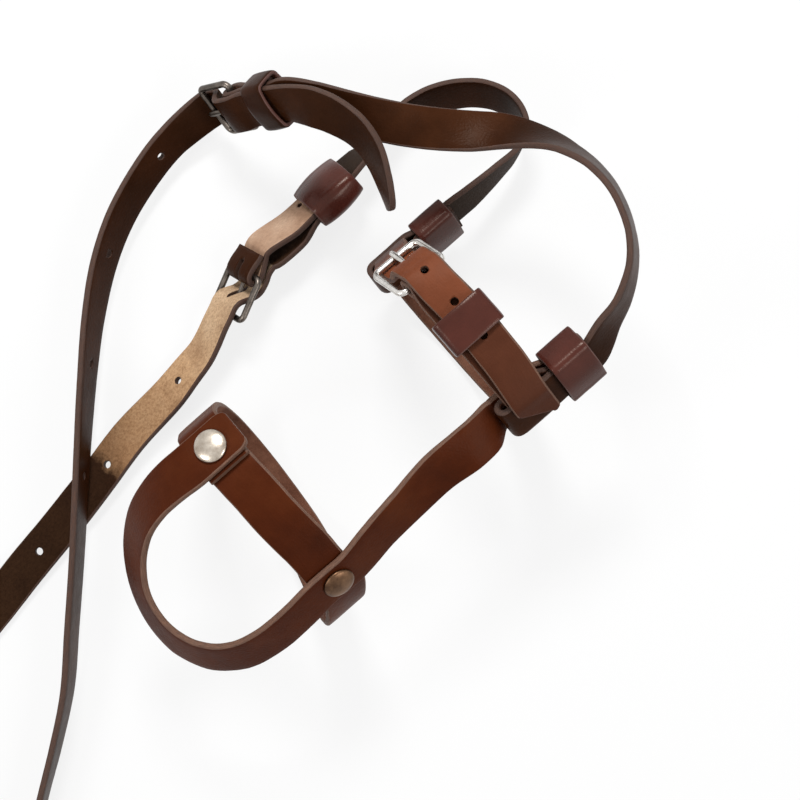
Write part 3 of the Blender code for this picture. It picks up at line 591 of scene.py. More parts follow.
def keeper(name, matrix, low, high, inner_width, length, crown=0.7, barrel=0.0):
    """A closed leather loop with soft corners, a crowned top, a bulging middle and rounded ends."""
    t = 0.5 * KEEPER_T
    half_w = inner_width / 2 + t
    path = []
    corners = rounded_corners((-half_w, low - t), (half_w, high + t), KEEPER_CORNER_R, 8)
    bulges = ((0, crown), (-SIDE_CROWN, 0), (0, -crown), (SIDE_CROWN, 0))
    for i, (corner, bulge) in enumerate(zip(corners, bulges)):
        path += corner
        begin, end = corner[-1], corners[(i + 1) % 4][0]
        for f in (k / 10 for k in range(1, 10)):
            rise = math.sin(math.pi * f)
            path.append(tuple(b + (e - b) * f + rise * out for b, e, out in zip(begin, end, bulge)))
    half = 0.5 * length
    section = [(-half + 0.5 + (length - 1.0) * k / 10, t - 0.06 * abs(2 * k / 10 - 1) ** 6, GRAIN)
               for k in range(11)]
    section[-1] = (*section[-1][:2], EDGE)
    section += [
        (half - 0.12, t - 0.3, EDGE), (half, 0.1, EDGE), (half - 0.1, -t + 0.25, EDGE),
        (half - 0.4, -t, FLESH), (-half + 0.4, -t, EDGE), (-half + 0.1, -t + 0.25, EDGE), (-half, 0.1, EDGE),
        (-half + 0.12, t - 0.3, GRAIN)]
    rings = []
    along = [0.0]
    for i, (y, z) in enumerate(path):
        before, after = path[i - 1], path[(i + 1) % len(path)]
        ahead = Vector((after[0] - before[0], after[1] - before[1])).normalized()
        out = Vector((ahead.y, -ahead.x))
        ring = []
        for x, h, _ in section:
            h += barrel * (1.0 - (x / half) ** 2)
            point = place(matrix, x, y + out.x * h, z + out.y * h)
            ring.append(point + wander(point, KEEPER_DENT_REACH, KEEPER_DENT))
        rings.append(ring)
        along.append(along[-1] + math.dist((y, z), after))
    kinds = [kind for _, _, kind in section]
    surfaces = LEATHER_OF.get(name, LEATHER_OF["keeper"])
    dress(sweep(name, rings, along, kinds, surfaces, cyclic=True), name, name)


def wire(name, path, radius, surface, taper=None):
    """A bent wire: a bevelled curve turned into a smooth mesh. Without a taper it closes on itself."""
    curve = bpy.data.curves.new(name, "CURVE")
    curve.dimensions = "3D"
    curve.bevel_depth = radius * MM
    curve.bevel_resolution = 6
    curve.use_fill_caps = taper is not None
    spline = curve.splines.new("POLY")
    spline.points.add(len(path) - 1)
    for i, (node, point) in enumerate(zip(spline.points, path)):
        node.co = (*world(point), 1.0)
        node.radius = 1.0 if taper is None else taper[i]
    spline.use_cyclic_u = taper is None
    holder = linked(name + "_curve", curve)
    mesh = mesh_of(holder)
    bpy.data.objects.remove(holder)
    shape = bmesh.new()
    shape.from_mesh(mesh)
    bpy.data.meshes.remove(mesh)
    bmesh.ops.remove_doubles(shape, verts=shape.verts, dist=0.00001)
    bmesh.ops.recalc_face_normals(shape, faces=shape.faces)
    for face in shape.faces:
        face.smooth = len(face.verts) <= 4
    return object_of(name + "_metal", shape, [surface])


def buckle_frame(name, matrix, strap_width, surface):
    """Rectangular frame of round wire; its heel bar lies on the local Y axis."""
    half = strap_width / 2 + FRAME_SIDE_CLEARANCE + WIRE_R
    corners = rounded_corners((0.0, -half), (FRAME_LENGTH, half), FRAME_CORNER_R, 12)
    path = [place(matrix, x, y, 0.0) for corner in corners for x, y in corner]
    dress(wire(name, path, WIRE_R, surface), name, name)


def buckle_tongue(name, matrix, surface):
    """Pin of a buckle: a loop round the heel bar, a rod, and a flattened tip that rests on the outer bar."""
    loop = WIRE_R + TONGUE_CLEARANCE + TONGUE_R
    rest = WIRE_R + TONGUE_R + 0.05
    turns = [math.radians(-20.0 - 10.0 * k) for k in range(31)]
    rod = [(loop * math.cos(a), loop * math.sin(a), 1.0) for a in turns]
    rod += [
        (3.6, 1.35, 1.0), (5.2, 1.4, 1.0), (7.0, 1.45, 1.0), (9.0, 1.6, 1.0), (11.0, 1.75, 1.0),
        (13.0, 1.95, 0.99), (15.0, rest - 0.15, 0.97), (16.6, rest - 0.05, 0.95), (FRAME_LENGTH, rest, 0.92),
        (FRAME_LENGTH + 0.9, rest - 0.03, 0.88), (FRAME_LENGTH + 1.4, rest - 0.07, 0.78),
        (FRAME_LENGTH + 1.7, rest - 0.1, 0.55)]
    path = [place(matrix, x, 0.0, z) for x, z, _ in rod]
    made = wire(name, path, TONGUE_R, surface, [size for _, _, size in rod])
    origin = world(matrix.translation)
    basis = matrix.to_3x3()
    for vertex in made.data.vertices:
        local = basis.transposed() @ (vertex.co - origin) / MM
        if local.x > TIP_FROM:
            local.y *= 1.0 + TIP_SPREAD * min(1.0, (local.x - TIP_FROM) / TIP_REACH)
            vertex.co = origin + basis @ local * MM
    dress(made, name, name)


def buckle(label, matrix, strap_width, surface):
    """A frame and its tongue."""
    buckle_frame(label + "_buckle_frame", matrix, strap_width, METAL_OF[surface])
    buckle_tongue(label + "_buckle_tongue", matrix, METAL_OF[surface])


def turned(node, profile, matrix, surface, steps=72):
    """A round piece from half its outline, turned about a local frame's Z axis."""
    shape = bmesh.new()
    rows = []
    for k in range(steps):
        a = 2 * math.pi * k / steps
        rows.append([shape.verts.new(world(place(matrix, r * math.cos(a), r * math.sin(a), z)))
                     for r, z in profile])
    for i, row in enumerate(rows):
        after = rows[(i + 1) % steps]
        for j in range(len(profile) - 1):
            shape.faces.new((row[j], row[j + 1], after[j + 1], after[j])).smooth = True
    bmesh.ops.remove_doubles(shape, verts=shape.verts, dist=0.000002)
    bmesh.ops.recalc_face_normals(shape, faces=shape.faces)
    dress(object_of(node + "_metal", shape, [surface]), node, "straps")


def rivet(label, matrix, cap_at):
    """Domed cap with a rolled rim over a strap, and a washer with its pin behind the layers."""
    bore = PIN_R + 0.1
    rim = 0.7
    turns = [math.radians(a) for a in range(4, 90, 6)]
    cap = [(0.0, 1.3), (bore, 1.3), (bore, 0.0), (CAP_R - 0.7, 0.0), (CAP_R - 0.25, 0.06),
           (CAP_R - 0.05, 0.25), (CAP_R, 0.5)]
    cap += [(CAP_R * math.cos(a), rim + (CAP_H - rim) * math.sin(a)) for a in turns] + [(0.0, CAP_H)]
    turned("rivet_cap_" + label, cap, moved_frame(matrix, 0, 0, cap_at), METAL_OF[CAP_OF[label]])
    top = cap_at + 1.15
    face = -HALF_T - 0.1
    back = face - WASHER_T
    post = [(0.0, top), (PIN_R, top), (PIN_R, face), (WASHER_R, face), (WASHER_R, back + 0.45),
            (WASHER_R - 0.1, back + 0.15), (WASHER_R - 0.45, back), (PIN_R + 0.15, back + 0.12),
            (PIN_R, back + 0.1), (PIN_R - 0.2, back), (0.0, back)]
    turned("rivet_washer_" + label, post, matrix, METAL_OF["bronze"])


class Surface:
    """A material with short calls for its nodes."""

    def __init__(self, name):
        self.made = bpy.data.materials.new(name)
        self.made.use_nodes = True
        self.tree = self.made.node_tree
        self.shader = self.tree.nodes["Principled BSDF"]

    def node(self, kind, **values):
        """A node, with its inputs set by name: a number, a colour or another node's output."""
        made = self.tree.nodes.new(kind)
        for name, value in values.items():
            if hasattr(made, name):
                setattr(made, name, value)
            else:
                self.put(made.inputs[name.replace("_", " ")], value)
        return made

    def put(self, socket, value):
        """Set an input or link it."""
        if isinstance(value, bpy.types.NodeSocket):
            self.tree.links.new(value, socket)
        else:
            socket.default_value = value

    def shape(self, coordinates, scale, detail=4.0, rough=0.55, stretch=None):
        """Smooth noise between 0 and 1."""
        if stretch is not None:
            coordinates = self.node("ShaderNodeMapping", Vector=coordinates, Scale=stretch).outputs[0]
        return self.node("ShaderNodeTexNoise", Vector=coordinates, Scale=scale, Detail=detail,
                         Roughness=rough).outputs[0]

    def ramp(self, factor, *stops):
        """Colours or levels at places along 0 to 1."""
        made = self.node("ShaderNodeValToRGB", Fac=factor)
        points = made.color_ramp.elements
        while len(points) < len(stops):
            points.new(0.5)
        for point, (place_at, colour) in zip(points, stops):
            point.position = place_at
            point.color = (*colour, 1.0) if isinstance(colour, tuple) else (colour, colour, colour, 1.0)
        return made.outputs[0]

    def darken(self, colour, share, factor, *stops):
        """A colour times what a ramp gives along 0 to 1, by some share."""
        levels = self.ramp(factor, *stops)
        made = self.node("ShaderNodeMix", data_type="RGBA", blend_type="MULTIPLY")
        for index, value in ((0, share), (6, colour), (7, levels)):
            self.put(made.inputs[index], value)
        return made.outputs[2]

    def bumps(self, *layers):
        """Height layers, each with its strength and its depth in metres, added up as one normal."""
        normal = None
        for height, strength, depth in layers:
            made = self.node("ShaderNodeBump", Height=height, Strength=strength, Distance=depth)
            if normal is not None:
                self.put(made.inputs["Normal"], normal)
            normal = made.outputs[0]
        self.put(self.shader.inputs["Normal"], normal)

    def darken_along(self, colour, flat, solid, fade):
        """Colour times what is left of it along a strap, which paints shade on the upper belt and the long
        strap: rows of centimetres from its start and a colour.
        """
        reach = fade[-1][0]
        along = self.node("ShaderNodeSeparateXYZ", Vector=flat).outputs[0]
        uneven = self.level(self.shape(solid, 120.0, 6.0, 0.7), -1.4, 1.4)
        moved = self.node("ShaderNodeMath", operation="ADD")
        self.put(moved.inputs[0], along)
        self.put(moved.inputs[1], uneven)
        part = self.node("ShaderNodeMapRange", Value=moved.outputs[0], From_Max=reach).outputs[0]
        return self.darken(colour, 1.0, part, *((at / reach, left) for at, left in fade))

    def level(self, factor, low, high):
        """A number between two limits, following 0 to 1."""
        return self.node("ShaderNodeMapRange", Value=factor, To_Min=low, To_Max=high).outputs[0]

    def shade(self, **values):
        """Set the surface's own inputs by name."""
        for name, value in values.items():
            self.put(self.shader.inputs[name.replace("_", " ")], value)


def leather(name):
    """A material with its two kinds of coordinates: the object's own, and those along and round a strap."""
    s = Surface(name)
    solid = s.node("ShaderNodeTexCoord").outputs["Object"]
    return s, solid, s.node("ShaderNodeUVMap", uv_map="strap").outputs[0]


def grain_leather(name, dark, base, light, rough, pebble=1.0, gloss=0.13, coat=0.0, fade=None):
    """Waxed leather: mottled colour, fine pebble with pores, faint stretch lines and uneven gloss."""
    s, solid, flat = leather(name)
    broad = s.shape(solid, 26.0, 4.0)
    middle = s.shape(solid, 190.0, 6.0, 0.62)
    lines = s.shape(flat, 1.0, 5.0, 0.6, (1.2, 18.0, 1.0))
    cells = s.node("ShaderNodeTexVoronoi", Vector=solid, Scale=1150.0, feature="SMOOTH_F1",
                   Smoothness=0.35).outputs["Distance"]
    pores = s.node("ShaderNodeTexVoronoi", Vector=solid, Scale=620.0).outputs["Distance"]
    colour = s.ramp(broad, (0.28, dark), (0.52, base), (0.78, light))
    colour = s.darken(colour, 0.35, middle, (0.25, 0.62), (0.7, 1.0))
    colour = s.darken(colour, 0.22, lines, (0.35, 0.7), (0.6, 1.0))
    colour = s.darken(colour, 0.35, pores, (0.0, 0.45), (0.16, 1.0))
    if fade is not None:
        colour = s.darken_along(colour, flat, solid, fade)
    s.shade(Base_Color=colour, Roughness=s.level(middle, rough - 0.08, rough + 0.12),
            Specular_IOR_Level=gloss, Specular_Tint=(1.0, 0.8, 0.66, 1.0), Coat_Weight=coat,
            Coat_Roughness=0.25)
    s.bumps((middle, 0.25 * pebble, 0.0004), (lines, 0.1, 0.0003), (cells, 0.4 * pebble, 0.00014),
            (s.ramp(pores, (0.0, 0.0), (0.18, 1.0)), 0.35 * pebble, 0.00008))
    return s.made


def cut_edge(name, dark, base, rough=0.72):
    """A cut edge: paler fibres in thin layers along the strap."""
    s, solid, flat = leather(name)
    layers = s.shape(flat, 1.0, 5.0, 0.7, (2.2, 42.0, 1.0))
    spots = s.shape(solid, 420.0, 6.0, 0.65)
    colour = s.ramp(layers, (0.34, dark), (0.66, base))
    colour = s.darken(colour, 0.5, spots, (0.3, 0.55), (0.68, 1.0))
    s.shade(Base_Color=colour, Roughness=s.level(spots, rough - 0.1, rough + 0.12))
    s.bumps((layers, 0.5, 0.0003), (spots, 0.4, 0.0002))
    return s.made


def flesh_side(name, dark, base, light, rough=0.9, speckle=0.2, fade=None):
    """The suede back of a strap: matted fibres, mostly along it, with paler and darker patches.

    A fade darkens the colour along the strap: centimetres from its start, and what is left of the colour
    there.
    """
    s, solid, flat = leather(name)
    patches = s.shape(solid, 70.0, 5.0, 0.6)
    fibres = s.shape(flat, 1.0, 7.0, 0.72, (5.0, 34.0, 1.0))
    cross = s.shape(solid, 1100.0, 4.0, 0.7)
    colour = s.ramp(patches, (0.3, dark), (0.5, base), (0.72, light))
    colour = s.darken(colour, 0.45, fibres, (0.34, 0.6), (0.62, 1.0))
    colour = s.darken(colour, 0.25, cross, (0.35, 0.6), (0.6, 1.0))
    specks = s.shape(solid, 900.0, 5.0, 0.75)
    colour = s.darken(colour, speckle, specks, (0.34, (0.3, 0.2, 0.14)), (0.58, (1.0, 1.0, 1.0)))
    if fade is not None:
        colour = s.darken_along(colour, flat, solid, fade)
    s.shade(Base_Color=colour, Roughness=s.level(patches, rough - 0.08, min(1.0, rough + 0.08)),
            Specular_IOR_Level=0.08)
    s.bumps((fibres, 0.5, 0.00035), (cross, 0.4, 0.0002))
    return s.made


def metal(name, colour, worn, rough, patina):
    """Cast or drawn metal: fine scratches, dull patches and tarnish."""
    s = Surface(name)
    solid = s.node("ShaderNodeTexCoord").outputs["Object"]
    clouds = s.shape(solid, 160.0, 6.0, 0.65)
    specks = s.shape(solid, 1500.0, 4.0, 0.6)
    scratches = s.shape(solid, 700.0, 2.0, 0.5, (1.0, 0.12, 0.5))
    shade = s.ramp(clouds, (0.42 - 0.2 * patina, worn), (0.62, colour))
    shade = s.darken(shade, 0.25, specks, (0.3, 0.7), (0.62, 1.0))
    s.shade(Base_Color=shade, Metallic=1.0, Roughness=s.level(clouds, rough - 0.08, rough + 0.16))
    s.bumps((clouds, 0.05, 0.0002), (scratches, 0.05, 0.00004))
    return s.made


# Darkening along a strap: centimetres from its start, and what is left of the colour there.
# Painted shade on the upper belt: dark over its first 26 cm and past 34.8 cm, beyond its keeper; its own
# colour between.
BELT_PAINTED_SHADE = (
    (0.0, (0.3, 0.3, 0.3)), (26.0, (0.35, 0.35, 0.35)), (28.5, (1.0, 1.0, 1.0)), (33.4, (1.0, 1.0, 1.0)),
    (34.8, (0.4, 0.4, 0.42)), (39.0, (0.4, 0.4, 0.42)))
# Painted shade on the long strap's back: near black over its first 4.4 cm, under the left strap, and past
# 15.9 cm, under its crossing run; between them it darkens from 10.5 cm on.
LONG_PAINTED_SHADE = (
    (0.0, (0.05, 0.03, 0.02)), (4.4, (0.05, 0.03, 0.02)), (5.4, (1.0, 1.0, 1.0)), (10.5, (0.8, 0.69, 0.58)),
    (13.6, (0.56, 0.44, 0.34)), (15.1, (0.5, 0.38, 0.29)), (15.9, (0.06, 0.035, 0.025)),
    (20.0, (0.05, 0.03, 0.02)))
# The left strap's back is near black over its first 23.2 cm and keeps its own colour from 24.4 cm.
LEFT_FADE = (
    (0.0, (0.05, 0.04, 0.03)), (23.2, (0.05, 0.04, 0.03)), (24.4, (1.0, 1.0, 1.0)), (31.0, (1.0, 1.0, 1.0)))

# The leathers and their cut edges, from dark to light.
BELT_GRAIN = grain_leather(
    "belt_grain", (0.038, 0.008, 0.003), (0.068, 0.014, 0.004), (0.106, 0.026, 0.008), 0.38, 1.0, 0.06)
# The upper belt's grain, with the painted shade along it.
BILLET_GRAIN = grain_leather(
    "upper_belt_grain", (0.125, 0.034, 0.014), (0.18, 0.051, 0.022), (0.245, 0.076, 0.034), 0.5, 1.0, 0.12,
    fade=BELT_PAINTED_SHADE)
STRAP_GRAIN = grain_leather(
    "shoulder_grain", (0.018, 0.006, 0.002), (0.035, 0.011, 0.004), (0.068, 0.022, 0.008), 0.34, 1.0, 0.05)
KEEPER_GRAIN = grain_leather(
    "keeper_grain", (0.04, 0.008, 0.005), (0.066, 0.014, 0.009), (0.098, 0.023, 0.015), 0.27, 0.6, 0.22,
    0.12)
CUT = cut_edge("cut_edge", (0.055, 0.022, 0.012), (0.215, 0.105, 0.062))
DARK_CUT = cut_edge("dark_cut_edge", (0.022, 0.008, 0.004), (0.085, 0.034, 0.017))
DARK_KEEPER_GRAIN = grain_leather(
    "dark_keeper_grain", (0.014, 0.005, 0.002), (0.026, 0.009, 0.004), (0.05, 0.016, 0.008), 0.3, 0.6, 0.06)
KEEPER_CUT = cut_edge("keeper_edge", (0.05, 0.017, 0.013), (0.13, 0.05, 0.035), 0.6)
# The long strap's back, with the painted shade along it.
LONG_BACK = flesh_side(
    "long_strap_back", (0.52, 0.35, 0.22), (0.76, 0.55, 0.36), (0.84, 0.64, 0.44), 0.9, 0.5, LONG_PAINTED_SHADE)
LEFT_BACK = flesh_side(
    "left_strap_back", (0.34, 0.19, 0.115), (0.52, 0.33, 0.22), (0.64, 0.44, 0.31), 0.6, 0.15, LEFT_FADE)
BROWN_BACK = flesh_side("brown_back", (0.09, 0.032, 0.018), (0.15, 0.06, 0.035), (0.22, 0.1, 0.062), 0.6)
LEATHER_OF = {
    "default": (BELT_GRAIN, CUT, BROWN_BACK),
    "upper_belt": (BILLET_GRAIN, CUT, BROWN_BACK),
    "right_strap": (STRAP_GRAIN, DARK_CUT, BROWN_BACK),
    "left_strap": (STRAP_GRAIN, DARK_CUT, LEFT_BACK),
    "long_strap": (STRAP_GRAIN, DARK_CUT, LONG_BACK),
    "right_buckle_keeper": (DARK_KEEPER_GRAIN, KEEPER_CUT, BROWN_BACK),
    "keeper": (KEEPER_GRAIN, KEEPER_CUT, BROWN_BACK),
}
METAL_OF = {
    "nickel": metal("polished_nickel", (0.8, 0.78, 0.75), (0.52, 0.49, 0.45), 0.2, 0.3),
    "bronze": metal("aged_bronze", (0.175, 0.098, 0.055), (0.068, 0.036, 0.021), 0.36, 0.6),
    "black": metal("blackened_steel", (0.17, 0.145, 0.125), (0.055, 0.045, 0.038), 0.3, 0.6),
    "worn_nickel": metal("worn_nickel", (0.62, 0.56, 0.48), (0.26, 0.2, 0.15), 0.27, 0.9),
}
CAP_OF = {"left": "worn_nickel", "right": "bronze"}

# Local frames: the rivets, the places where the shoulder straps loop round the upper belt, and the buckles.
LEFT_RIVET = local_frame(around(-36.9, 8.4, LOWER_X - 0.8), -ALONG, outward(-20.0))
RIGHT_RIVET = local_frame(around(50.4, 5.2, LOWER_X + 0.3), ALONG, outward(49.0))
RIGHT_LOOP = local_frame(around(46.5, 7.6, UPPER_X), ALONG, outward(46.5))
LEFT_LOOP = local_frame(around(243.0, 5.4, UPPER_X), ALONG, outward(243.0))
BELT_BUCKLE = local_frame(
    around(-36.6, 5.6, UPPER_X + 0.7), Vector((-0.14, 0.7, -0.7)), Vector((0.15, 0.715, 0.683)))
RIGHT_BUCKLE = local_frame(
    measured(140.6, 128.2, 33.5), Vector((-0.501, 0.425, -0.754)), Vector((-0.852, -0.204, 0.48)))
LEFT_BUCKLE = local_frame(
    measured(97.0, 79.4, 12.8), Vector((-0.901, -0.4165, -0.1)), Vector((0.24, -0.69, -0.68)))


def lower_belt():
    """A ring near the bottle's base that laps under the left rivet."""
    ring = laid(LEFT_RIVET, 0.0, (-6.8, -3.4, 0.0, 4.0))
    ring += girth(LOWER_X, (
        (-22, 6, -0.4), (-10, 4.3, 0), (2, 3.6, 0), (15, 3.6, 0.3), (28, 4.2, 0.7)))
    ring += laid(RIGHT_RIVET, 0.0, (8.0, 4.0, 0.0, -4.0, -8.0))
    ring += girth(LOWER_X, (
        (73, 7.4, -3.1), (88, 9, -7.3), (108, 8.9, -9.6), (130, 6.4, -8.4), (152, 3.2, -4.6),
        (180, UNDER, -2.4), (207, 3.2, -0.8), (229, 4.8, 0), (251, 4.3, 0), (271, 4, -0.3), (289, 6, -0.6),
        (303, 10, -0.8)))
    ring += laid(LEFT_RIVET, LAYER - 0.7, (-10.5,)) + laid(LEFT_RIVET, LAYER, (-5.2, 0.0, 4.0, 10.0))
    holes = [hole(LEFT_RIVET, RIVET_HOLE_R, 9.0), hole(RIGHT_RIVET, RIVET_HOLE_R, 6.0)]
    strap("lower_belt", Run(ring), LOWER_W, holes)


def sling_strap():
    """From its tab at the left rivet round the bottle's base, over the right rivet, inside the upper belt."""
    points = placed(LEFT_RIVET, [(x, 2 * LAYER) for x in (-11.8, -5.5, 0.0, 5.0, 10.6)])
    points += leanings((
        (26, 31.6, 84.6, -25), (16.5, 31.2, 80, -35), (5.9, 28.4, 73.5, -47), (-5.2, 20.6, 65.5, -58),
        (-13.2, 9.6, 60, -65), (-17, -3, 57.5, -65), (-16.4, -15.6, 57.5, -60), (-10.8, -27, 59.5, -54),
        (-1, -34.6, 63, -50), (12, -37.8, 67.5, -49), (26, -38, 71.5, -49)))
    points += placed(RIGHT_RIVET, [(x, LAYER) for x in (-8.0, 0.0, 8.0)])
    points += leanings((
        (71, -34.6, 75, -47), (86, -33.2, 75.6, -41), (103, -31.8, 76.2, -29), (117, -32.6, 76.8, -16),
        (126, -32.4, 75.2, -22)))
    inner = -2 * LAYER
    points += placed(RIGHT_LOOP, (
        (-12.6, inner), (-6.0, inner), (0.0, inner), (9.0, inner), (11.0, inner + 0.9), (13.0, inner + 2.0),
        (15.3, SLING_REST), (22.0, SLING_REST), (30.5, SLING_REST)))
    holes = [hole(moved_frame(LEFT_RIVET, 0, 0, 2 * LAYER), RIVET_HOLE_R, 3.0),
             hole(moved_frame(RIGHT_RIVET, 0, 0, LAYER), RIVET_HOLE_R, 3.0)]
    strap("sling_strap", Run(points), SLING_W, holes, tips=("blunt", "blunt"))
    rivet("left", LEFT_RIVET, 2 * LAYER + HALF_T + 0.15)
    rivet("right", RIGHT_RIVET, LAYER + HALF_T + 0.1)


def upper_belt():
    """Folded round its buckle, round the bottle, back through the buckle and along itself."""
    belt = girth(UPPER_X, ((-19.0, 1.75, 0.45), (-24.0, 1.8, 0.5)))
    r = FOLD_R
    fold = [(-3.4, -r + 0.1), (0.0, -r)] + arc(r, -1, 1) + [(0.0, r), (-3.4, r - 0.15)]
    belt += placed(BELT_BUCKLE, fold, -1.0)
    belt += girth(UPPER_X, (
        (-23.5, 6.5, 0.5), (-17, 5.3, 0.4), (-10, 4.75, 0.3), (-3, 4.6, 0.2), (5, 4.7, 0.1), (13, 5.1, 0),
        (21.5, 6.3, 0)))
    belt += laid(RIGHT_LOOP, 0.0, (10.0, 5.0, 0.0, -5.0, -10.0))
    belt += girth(UPPER_X, (
        (64, 6.3, 0), (74, 4.4, 0), (87, 3, 0), (106, 2.2, 0), (130, 1.9, 0), (156, 1.8, 0),
        (180, UNDER, 0), (200, 1.9, 0), (214, 2.8, 0), (223, 4.4, 0)))
    belt += laid(LEFT_LOOP, 0.0, (9.5, 4.7, 0.0, -4.7, -9.5))
    belt += girth(UPPER_X, ((263.0, 4.4, -0.5), (273.0, 2.9, -1.5), (282.0, 2.3, -2.6)))
    belt += placed(BELT_BUCKLE, [(23.5, -4.6)] + BILLET_PATH[1:-1] + [(-3.4, 6.8)], -1.0)
    belt += girth(UPPER_X, (
        (-23.5, 10.3, 2.4), (-17, 8.7, 2.8), (-10, 7.9, 3), (-3, 7.6, 2.9), (5, 7.8, 2.7), (13, 8.7, 2.4),
        (21.5, 10.7, 2)))
    belt += laid(moved_frame(RIGHT_LOOP, 0.4, 0, 0), 2 * LAYER + 0.4, (8.8, 4.4, 0.0, -5.2))
    run = Run(belt)
    in_use = run.nearest(place(BELT_BUCKLE, TONGUE_SLOT_X, 0.0, TONGUE_SLOT_Z))
    slots = [billet_slot(BELT_BUCKLE), fold_slot(BELT_BUCKLE)]
    holes = [hole(run.frame(in_use + BELT_HOLE_PITCH * k), HOLE_R, 1.7) for k in (1, 2, 3)]
    strap("upper_belt", run, UPPER_W, slots, holes, tips=("square", "slant"))
    buckle("upper", BELT_BUCKLE, UPPER_W, "nickel")
    middle = local_frame(around(-4.0, 4.6, UPPER_X + 1.6), Vector((0, -1, 0)), Vector((0, 0.07, 1)))
    keeper("upper_belt_keeper", middle, -HALF_T - 1.2, LAYER + HALF_T + 0.5, UPPER_W + 3.6,
           BELT_KEEPER_LENGTH)


def right_strap():
    """Looped round the upper belt, over the bottle's shoulder, down to its buckle."""
    points = edge_fold(RIGHT_LOOP, SLING_REST + LAYER, SLING_REST + 2 * LAYER)
    points += leanings((
        (187, -32, 81, -58), (197, -28.6, 84.5, -68), (208.5, -20.7, 86.8, -74), (216, -10.8, 87.4, -76),
        (221.2, 2.8, 86, -75), (222.4, 15.3, 82, -72), (220, 28, 75.5, -65), (215.2, 39, 68.5, -50),
        (207.8, 49.3, 63.8, -30), (197.8, 58.6, 62.3, -12), (187.6, 68.7, 63.3, 2), (179.4, 77.9, 65.2, 12),
        (172.6, 86.7, 66.6, 20), (166.8, 95.5, 66.6, 28), (161.6, 104.3, 64.6, 34)))
    turning = across(RIGHT_BUCKLE) + Vector((-0.08, 0.0, 0.05))
    points += [fixed(place(RIGHT_BUCKLE, -33.5, 0.0, RISE), turning)]
    points += placed(RIGHT_BUCKLE, [(x, RISE) for x in (-27.5, -22.5, -17.5)])
    points += chape(RIGHT_BUCKLE, (-12.0, -18.0, -24.5))
    strap("right_strap", Run(points), SHOULDER_W, [fold_slot(RIGHT_BUCKLE)])
    keeper("right_loop_keeper", moved_frame(RIGHT_LOOP, 21.3, 0, 0), SLING_REST - HALF_T - 1.6,
           SLING_REST + 2 * LAYER + HALF_T + 1.2, SLING_W + 2 * SIDE_CLEARANCE, LOOP_KEEPER_LENGTH, 1.3)


def left_strap():
    """Looped round the upper belt low on the other side, then to its buckle. Gives its run."""
    points = edge_fold(LEFT_LOOP, -LAYER / 2, LAYER / 2)
    points += leanings((
        (187, 41.3, 20.6, 113), (201, 41.7, 18.4, 103), (212.5, 42.8, 16.2, 92), (220.3, 46.8, 14.6, 85),
        (223.6, 54.4, 13.4, 75), (222.8, 62.6, 12.6, 66), (218, 70.7, 12.2, 59), (210, 77.4, 12, 56),
        (201, 81.9, 12, 56), (191.6, 84.3, 12, 61), (182, 84.9, 12, 73), (172.2, 84.6, 12, 97),
        (162.5, 84.2, 12.1, 122), (153.5, 83.6, 12.3, 130), (144.3, 83, 12.5, 130), (135, 82.4, 12.7, 131),
        (124, 81.9, 13, 134)))
    points += chape(LEFT_BUCKLE, (-9.5,))
    run = Run(points)
    peep = moved_frame(run.frame(run.nearest(measured(132.0, 82.3, 12.8))), 0, 3.5, 0)
    strap("left_strap", run, SHOULDER_W, [fold_slot(LEFT_BUCKLE), hole(peep, 1.1, 2.0)])
    half_stack = LAYER / 2 + HALF_T + 0.7
    keeper("left_loop_keeper", moved_frame(LEFT_LOOP, 20.5, 0, 0), -half_stack, half_stack,
           HELD_W, LOOP_KEEPER_LENGTH)
    return run


